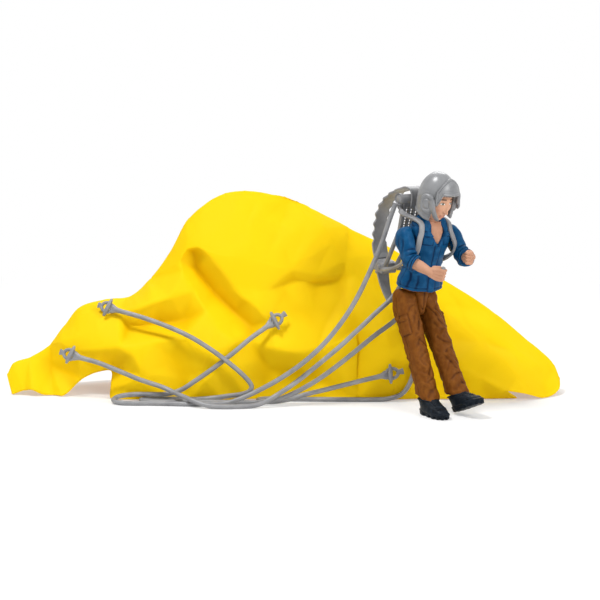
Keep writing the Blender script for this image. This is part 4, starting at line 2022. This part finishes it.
# %% Visor, ear cups and cheek guards
def visor_piece():
    """A raised band across the brow: thick, with a bead round it and a lip that stands out below."""
    reach = math.radians(50)
    turns = np.linspace(-reach, reach, 150)
    away = np.abs(turns) / reach
    low = np.radians(16 + (-6 - 16) * stretch(0.62, 0.92, away))
    high = np.radians(52 + (20 - 52) * away ** 2)
    share = np.linspace(0, 1, 44)
    rise = low[None] + (high - low)[None] * share[:, None]
    turn = np.broadcast_to(turns[None], rise.shape)
    flat = helmet_surface(turn, rise, 1.3 * MM)
    ends = (flat[:1], flat[-1:], flat[:, :1], flat[:, -1:])
    from_low, *others = (np.linalg.norm(flat - end, axis=2) for end in ends)
    edge = np.minimum.reduce([from_low, *others])
    bead = stretch(0.80 * MM, 0.50 * MM, edge)
    bulge = np.sin(share * math.pi)[:, None] * np.cos(turn) ** 0.8
    grown = 1.10 * MM + 0.24 * MM * bead + 0.25 * MM * bulge
    grown = grown + 0.45 * MM * stretch(1.6 * MM, 0.0, from_low) * stretch(0.85, 0.55, np.abs(turn))
    grown = grown - 0.14 * MM * np.exp(-((edge - 0.95 * MM) / (0.16 * MM)) ** 2)
    return walled("helmet_visor", turn, rise, grown, 0.15 * MM, False)


put(visor_piece(), "helmet", "helmet_plastic", "visor")

EAR_CUP_HEIGHT = 7.8 * MM
EAR_CUP_LENGTH = 6.0 * MM
EAR_CUP_FORWARD = 2.1 * MM
CUP_STATIONS = (
    (-1.2, 0.90), (-0.5, 0.97), (0.0, 1.0), (0.5, 0.985), (0.8, 0.93), (1.02, 0.80), (1.04, 0.66),
    (0.90, 0.60),
    (0.90, 0.50), (1.06, 0.44), (1.16, 0.36), (1.20, 0.22), (1.20, 0.05),
)


def ear_cup(name, side):
    """A rounded block with a raised disc in a shallow groove."""
    half_wide, half_long = HELMET_WIDTH / 2, HELMET_LENGTH / 2
    beside = half_wide * math.sqrt(1 - (EAR_CUP_FORWARD / half_long) ** 2)
    out = Vector((side * beside / half_wide ** 2, -EAR_CUP_FORWARD / half_long ** 2, 0)).normalized()
    start = HELMET_CENTRE + Vector((side * beside, -EAR_CUP_FORWARD, -HEAD_HEIGHT * 0.085))
    rows = [
        station(
            start + out * (rise * MM), EAR_CUP_LENGTH * size, EAR_CUP_HEIGHT * size, 0.74,
            Vector((0, 0, 1)).cross(out), Vector((0, 0, 1)),
        )
        for rise, size in CUP_STATIONS
    ]
    skin = Skin(rows, 88, 90)
    skin.seam([(0, 0.30), (359, 0.30)], 0.12 * MM, 0.10 * MM)
    return skin.finished(name, helmet_plastic, HEAD)


GUARD_SHARES = (
    (1.02, 0.25, 0.10), (1.00, 0.29, 0.00), (0.96, 0.325, -0.12), (0.88, 0.36, -0.22), (0.78, 0.39, -0.31),
    (0.70, 0.415, -0.355),
)
GUARD_SIZES = (1.50, 1.40, 1.28, 1.15, 1.02, 0.80)
GUARD_ROWS = {-1: 6, 1: 3}


def cheek_guard(name, side):
    """A curved guard that narrows from the front of the ear cup to beside the mouth."""
    route = [
        HEAD_CENTRE + Vector((side * HELMET_WIDTH / 2 * across, -HELMET_LENGTH * forward, HEAD_HEIGHT * rise))
        for across, forward, rise in GUARD_SHARES[:GUARD_ROWS[side]]
    ]
    rows = []
    for index, (at, size) in enumerate(zip(route, GUARD_SIZES[-GUARD_ROWS[side]:])):
        along = heading(route, index)
        out = square_to(ACROSS * side, along)
        rows.append(station(at, 1.05 * size * MM, 1.85 * size * MM, 0.7, out, along.cross(out)))
    tip = route[-1] + (route[-1] - route[-2]).normalized() * (0.55 * MM)
    rows.append((tip, rows[-1][1], rows[-1][2], 0.18 * MM, 0.26 * MM, 0.95))
    return Skin(rows, 48, 90).finished(name, helmet_plastic, HEAD)


for name, side in SIDES.items():
    put(ear_cup(f"ear_cup_{name}_block", side), "helmet", "helmet_plastic", f"ear_cup_{name}")
    put(cheek_guard(f"cheek_guard_{name}", side), "helmet", "helmet_plastic", f"chin_guard_{name}")
print("helmet made")

# %% [markdown]
# ## Harness pack
# The pack is moulded in the same grey vinyl as the lines: a slotted frame behind the back, a bar
# across its top, a scalloped band that bows out behind, a buckle block with a hook, and two straps
# round the shoulders. Flat pieces are blocks with bevelled edges. Bands and straps are skins over a
# row of sections along their route.

# %% Sizes of the pack
BAR_BACK = 13.2 * MM
BAR_HEIGHT = 41.6 * MM
BAR_RADIUS = 1.85 * MM
BAR_LENGTH = 13.8 * MM
PLATE_WIDTH = 9.6 * MM
PLATE_HEIGHT = 13.2 * MM
PLATE_THICKNESS = 1.8 * MM
BAND_WIDTH = 7.4 * MM
BAND_THICKNESS = 1.1 * MM
SCALLOP_PITCH = 4.3 * MM
SCALLOP_DEPTH = 0.95 * MM
BLOCK = Vector((0, 23.4, 9.4)) * MM
BLOCK_SIZE = Vector((7.9, 6.7, 4.5)) * MM
SLATS = 7
SLAT_PITCH = 1.15 * MM
print("pack sizes set")


# %% Frame, grille and block
def pack_frame():
    top = BAR_HEIGHT - BAR_RADIUS * 0.5
    middle = Vector((0, BAR_BACK - PLATE_THICKNESS * 0.2, top - PLATE_HEIGHT / 2))
    bar = Vector((0, BAR_BACK, BAR_HEIGHT))
    half = ACROSS * BAR_LENGTH / 2
    parts = [rod(bar - half, bar + half, BAR_RADIUS)]
    for out in (-ACROSS, ACROSS):
        post = (1.7 * MM, PLATE_THICKNESS, PLATE_HEIGHT)
        slim_post = (1.0 * MM, PLATE_THICKNESS * 0.9, PLATE_HEIGHT * 0.9)
        parts.append(block(middle + out * 4.05 * MM, post, 0.4 * MM))
        parts.append(block(middle + out * 1.2 * MM, slim_post, 0.3 * MM))
        parts.append(rod(bar + out * 6.2 * MM, bar + out * 7.1 * MM, BAR_RADIUS * 1.25))
        foot = out * 2.8 * MM + Vector((0, BLOCK.y - BLOCK_SIZE.y * 0.5, BLOCK.z + 0.4 * MM))
        head = out * 3.9 * MM + Vector((0, BAR_BACK, top - PLATE_HEIGHT + 0.9 * MM))
        parts.append(rod(head, foot, 0.92 * MM, 18))
    for share, deep in ((0.5, 2.6 * MM), (-0.5, 2.4 * MM)):
        end = middle + Vector((0, 0, share * (PLATE_HEIGHT - deep)))
        parts.append(block(end, (PLATE_WIDTH, PLATE_THICKNESS, deep), 0.4 * MM))
    for number in range(SLATS):
        slat = middle + Vector((0, 0.35 * MM, (number - SLATS // 2) * SLAT_PITCH))
        parts.append(block(slat, (PLATE_WIDTH * 0.8, 0.55 * MM, 0.42 * MM), 0.12 * MM))
    return joined("pack_frame_grille", parts, TORSO)


put(pack_frame(), "parachute", "grey_plastic", "pack_frame")


def buckle_block():
    def at(x, y, z):
        return BLOCK + Vector((x, y, z)) * MM

    hook = [at(0, 1.3, -1.3), at(0, 3.0, -3.3), at(0, 5.0, -4.4)]
    parts = [
        block(BLOCK, BLOCK_SIZE, 0.6 * MM),
        block(at(0, 0.1, 2.0), (5.4 * MM, 5.0 * MM, 1.0 * MM), 0.3 * MM),
        rod(at(-4.6, -1.2, 0.2), at(4.6, -1.2, 0.2), 1.05 * MM, 20),
        block(at(0, 3.2, -0.3), (6.6 * MM, 0.9 * MM, 3.0 * MM), 0.3 * MM),
        *(rod(start, end, 0.9 * MM, 18) for start, end in zip(hook, hook[1:])),
    ]
    return joined("buckle_block_moulding", parts, TORSO)


put(buckle_block(), "parachute", "grey_plastic", "buckle_block")
print("frame and block made")

# %% Closing band and its tail
BAND_ROUTE_SHARES = (
    (0.790, 0.920), (0.775, 0.985), (0.800, 1.045), (0.880, 1.092), (1.060, 1.105), (1.400, 1.060),
    (1.780, 0.985), (2.120, 0.875), (2.300, 0.750), (2.330, 0.640), (2.310, 0.525), (2.230, 0.410),
    (2.080, 0.320), (1.975, 0.285),
)


def along_route(points, count):
    """Evenly spaced places on a smooth curve through points."""
    rough = np.array(points)
    knots = travelled(rough)
    places = spline_rows(knots, rough, np.linspace(0, knots[-1], count * 3))
    run = travelled(places)
    at = np.linspace(0, run[-1], count)
    return np.stack([np.interp(at, run, places[:, axis]) for axis in range(3)], 1), at


def flat_band(name, route, widths, count, channel):
    """A flat band of the pack with a channel: widths gives its half width for each place along it."""
    path, at = along_route(route, count)
    rows = []
    for point, tangent, half in zip(path, unit(np.gradient(path, axis=0)), widths(at, at[-1])):
        third = Vector(tangent).cross(ACROSS).normalized()
        rows.append((point, ACROSS, third, half, BAND_THICKNESS / 2, 0.35))
    skin = Skin(rows, 64, count * 2)
    across = np.abs(np.cos(np.radians(skin.angle)))
    inside = stretch(0.86, 0.70, across) * stretch(0.02, 0.05, skin.share) * stretch(0.98, 0.95, skin.share)
    skin.moves -= channel * inside
    return skin.finished(name, grey_plastic, TORSO)


def scalloped(at, length):
    share = at / length
    wave = np.where((share > 0.33) & (share < 0.87), np.cos(2 * math.pi * at / SCALLOP_PITCH), 1.0)
    half = BAND_WIDTH / 2 - SCALLOP_DEPTH * (1 - wave) / 2
    return half * (0.72 + 0.28 * np.clip(share / 0.3, 0, 1))


band_route = [Vector((0, BAR_BACK * back, BAR_HEIGHT * rise)) for back, rise in BAND_ROUTE_SHARES]
band = flat_band("closing_band", band_route, scalloped, 170, 0.22 * MM)
put(band, "parachute", "grey_plastic", "closing_strap")
TAIL_SHARES = ((0.10, -0.50), (0.10, -0.58), (-0.10, -1.30), (-0.55, -2.20), (-1.10, -3.00))
tail_route = [BLOCK + Vector((0, BLOCK_SIZE.y * back, BLOCK_SIZE.z * rise)) for back, rise in TAIL_SHARES]
def narrowing(at, length):
    return BAND_WIDTH * (0.43 - 0.23 * at / length)


tail = flat_band("strap_tail_band", tail_route, narrowing, 60, 0.18 * MM)
put(tail, "parachute", "grey_plastic", "strap_tail")
print("band and tail made")

# %% Shoulder straps
STRAP_OVER_SHARES = (
    (0.60, 0.352, 1.052), (0.61, 0.340, 1.010), (0.66, 0.270, 0.980), (0.70, 0.180, 0.978),
    (0.715, 0.090, 0.984), (0.715, 0.000, 0.984), (0.70, -0.085, 0.962),
)
STRAP_TURNS = (
    (47, 0.86, 0.0), (50, 0.76, 0.3), (52, 0.66, 0.7), (56, 0.57, 0.7), (66, 0.49, 0.4), (80, 0.43, 0.1),
    (96, 0.385, 0.0), (112, 0.34, 0.0), (126, 0.30, 0.0),
)
STRAP_FOOT_SHARES = ((0.52, 0.42, 0.285), (0.36, 0.53, 0.250))
STRAP_LIFT = 0.95 * MM
LOOP_OUT = {-1: 0.4, 1: 3.2}
STRAP_SHIFT = {-1: 6, 1: 0}


def on_shirt(turn, rise, lift):
    """A place a little off the shirt's surface, at a turn from its front and a share of its height."""
    back, wide, deep = torso_sizes(rise)
    front, across = squared(turn, 0.9)
    return Vector((
        across * (wide / 2 + lift), back - front * (deep / 2 + lift),
        8.0 * MM + (TORSO_HEIGHT - 8.0 * MM) * rise,
    ))


def shoulder_strap(name, side):
    """A round-edged strap over one shoulder and back under the arm to the block."""
    over, foot = (
        [
            Vector((TORSO_WIDTH / 2 * across, TORSO_HEIGHT * back, TORSO_HEIGHT * rise))
            for across, back, rise in shares
        ]
        for shares in (STRAP_OVER_SHARES, STRAP_FOOT_SHARES)
    )
    under_arm = [
        on_shirt(math.radians(turn + STRAP_SHIFT[side]), rise, STRAP_LIFT + LOOP_OUT[side] * out * MM)
        for turn, rise, out in STRAP_TURNS
    ]
    path, _ = along_route(np.array(over + under_arm + foot) * (side, 1, 1), 70)
    rows = []
    for point, tangent in zip(map(Vector, path), map(Vector, unit(np.gradient(path, axis=0)))):
        core = Vector((side * TORSO_WIDTH * 0.28, 0, min(point.z, TORSO_HEIGHT * 0.82)))
        outward = square_to(point - core, tangent)
        rows.append((point, tangent.cross(outward), outward, 1.10 * MM, 0.62 * MM, 0.55))
    return Skin(rows, 40, 200).finished(name, grey_plastic, TORSO)


for name, side in SIDES.items():
    put(shoulder_strap(f"harness_strap_{name}", side), "parachute", "grey_plastic", f"shoulder_strap_{name}")
print("shoulder straps made")

# %% [markdown]
# The right hand holds a small grip, as if it pulled on a line: a short bar that lies in the fist.

# %% Grip in the right fist
GRIP_RADIUS = 0.85 * MM
GRIP_REACH = 3.4 * MM


def grip():
    wrist, way, across, up = hand_frame(-1)
    middle = wrist + way * (HAND_LENGTH * 0.66) + across * (0.95 * MM)
    bar = rod(middle - up * (GRIP_REACH * 0.8), middle + up * GRIP_REACH, GRIP_RADIUS, 20)
    return joined("fist_grip", [bar], SHOULDERS[-1])


put(grip(), "arm_right", "grey_plastic")
print("grip made")

# %% [markdown]
# ## Floor and light
# The toy lies on a plain white table in soft daylight. Large area lights and an even world keep
# the shadows soft. What the camera sees behind is plain white, through Light Path's Is Camera Ray,
# while the lamps stay at a plain level so that each colour shows as it is painted.

# %% Floor
FLOOR_SIZE = 6.0
FLOOR_WHITE = (0.93, 0.93, 0.93)
NEAR_FLOOR = 0.17
FAR_FLOOR = 0.42
PLAIN_SHARE = 0.35


def floor_material():
    """White paint that takes the toy's shadow, and fades to plain white where the table ends."""
    made, shader, wire = finish("floor_white", 0.7, 0.2, Base_Color=(*FLOOR_WHITE, 1))
    x, y, _ = place_of(wire).parts()
    away = wire.math("SQRT", x * x + y * y)
    far = away.step(NEAR_FLOOR, FAR_FLOOR) * (1 - PLAIN_SHARE) + PLAIN_SHARE
    seen = wire.node("ShaderNodeLightPath", None, None, "Is Camera Ray")
    white = wire.node("ShaderNodeEmission", None, {"Color": (1, 1, 1, 1), "Strength": 1.0})
    half_and_half(made, far * seen, shader, white)
    return made


corners = [(x * FLOOR_SIZE, y * FLOOR_SIZE, 0.0) for x, y in ((-1, -1), (1, -1), (1, 1), (-1, 1))]
floor = build_mesh("floor", corners, [(0, 1, 2, 3)], floor_material(), smooth=False)
print("floor laid")

# %% World and lamps
WORLD_STRENGTH = 0.35
LAMP_AIM = Vector((0, 0, 0.03))


def world():
    made = bpy.data.worlds.new("studio")
    made.use_nodes = True
    made.node_tree.nodes.clear()
    wire = Wire(made.node_tree)
    seen, mirrored, through = (
        wire.node("ShaderNodeLightPath", None, None, f"Is {kind} Ray")
        for kind in ("Camera", "Glossy", "Transmission")
    )
    strength = (seen + mirrored + through).limited() * (1 - WORLD_STRENGTH) + WORLD_STRENGTH
    back = wire.node("ShaderNodeBackground", None, {"Color": (1, 1, 1, 1), "Strength": strength})
    back.feeds(made.node_tree.nodes.new("ShaderNodeOutputWorld").inputs["Surface"])
    bpy.context.scene.world = made


def lamp(name, place, size, power):
    """A round lamp that looks at the toy."""
    data = bpy.data.lights.new(name, "AREA")
    data.shape = "DISK"
    data.size = size
    data.energy = power
    made = shown(name, data)
    made.location = place
    made.rotation_euler = (LAMP_AIM - Vector(place)).to_track_quat("-Z", "Y").to_euler()


world()
lamp("key_light", (-0.34, -0.22, 0.95), 0.28, 7.2)
lamp("fill_light", (0.65, -0.75, 0.50), 0.6, 6.0)
lamp("back_light", (0.1, 0.7, 0.7), 0.6, 3.0)
bpy.context.scene.view_settings.view_transform = "Standard"
print("lamps placed")

# %% [markdown]
# ## Sizes
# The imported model's box and the dressed model's box go to one small file, so that the two can be
# compared: clothes and cloth may stand a little proud of the solids, and no more.

# %% Sizes and the end
print("sizes written")
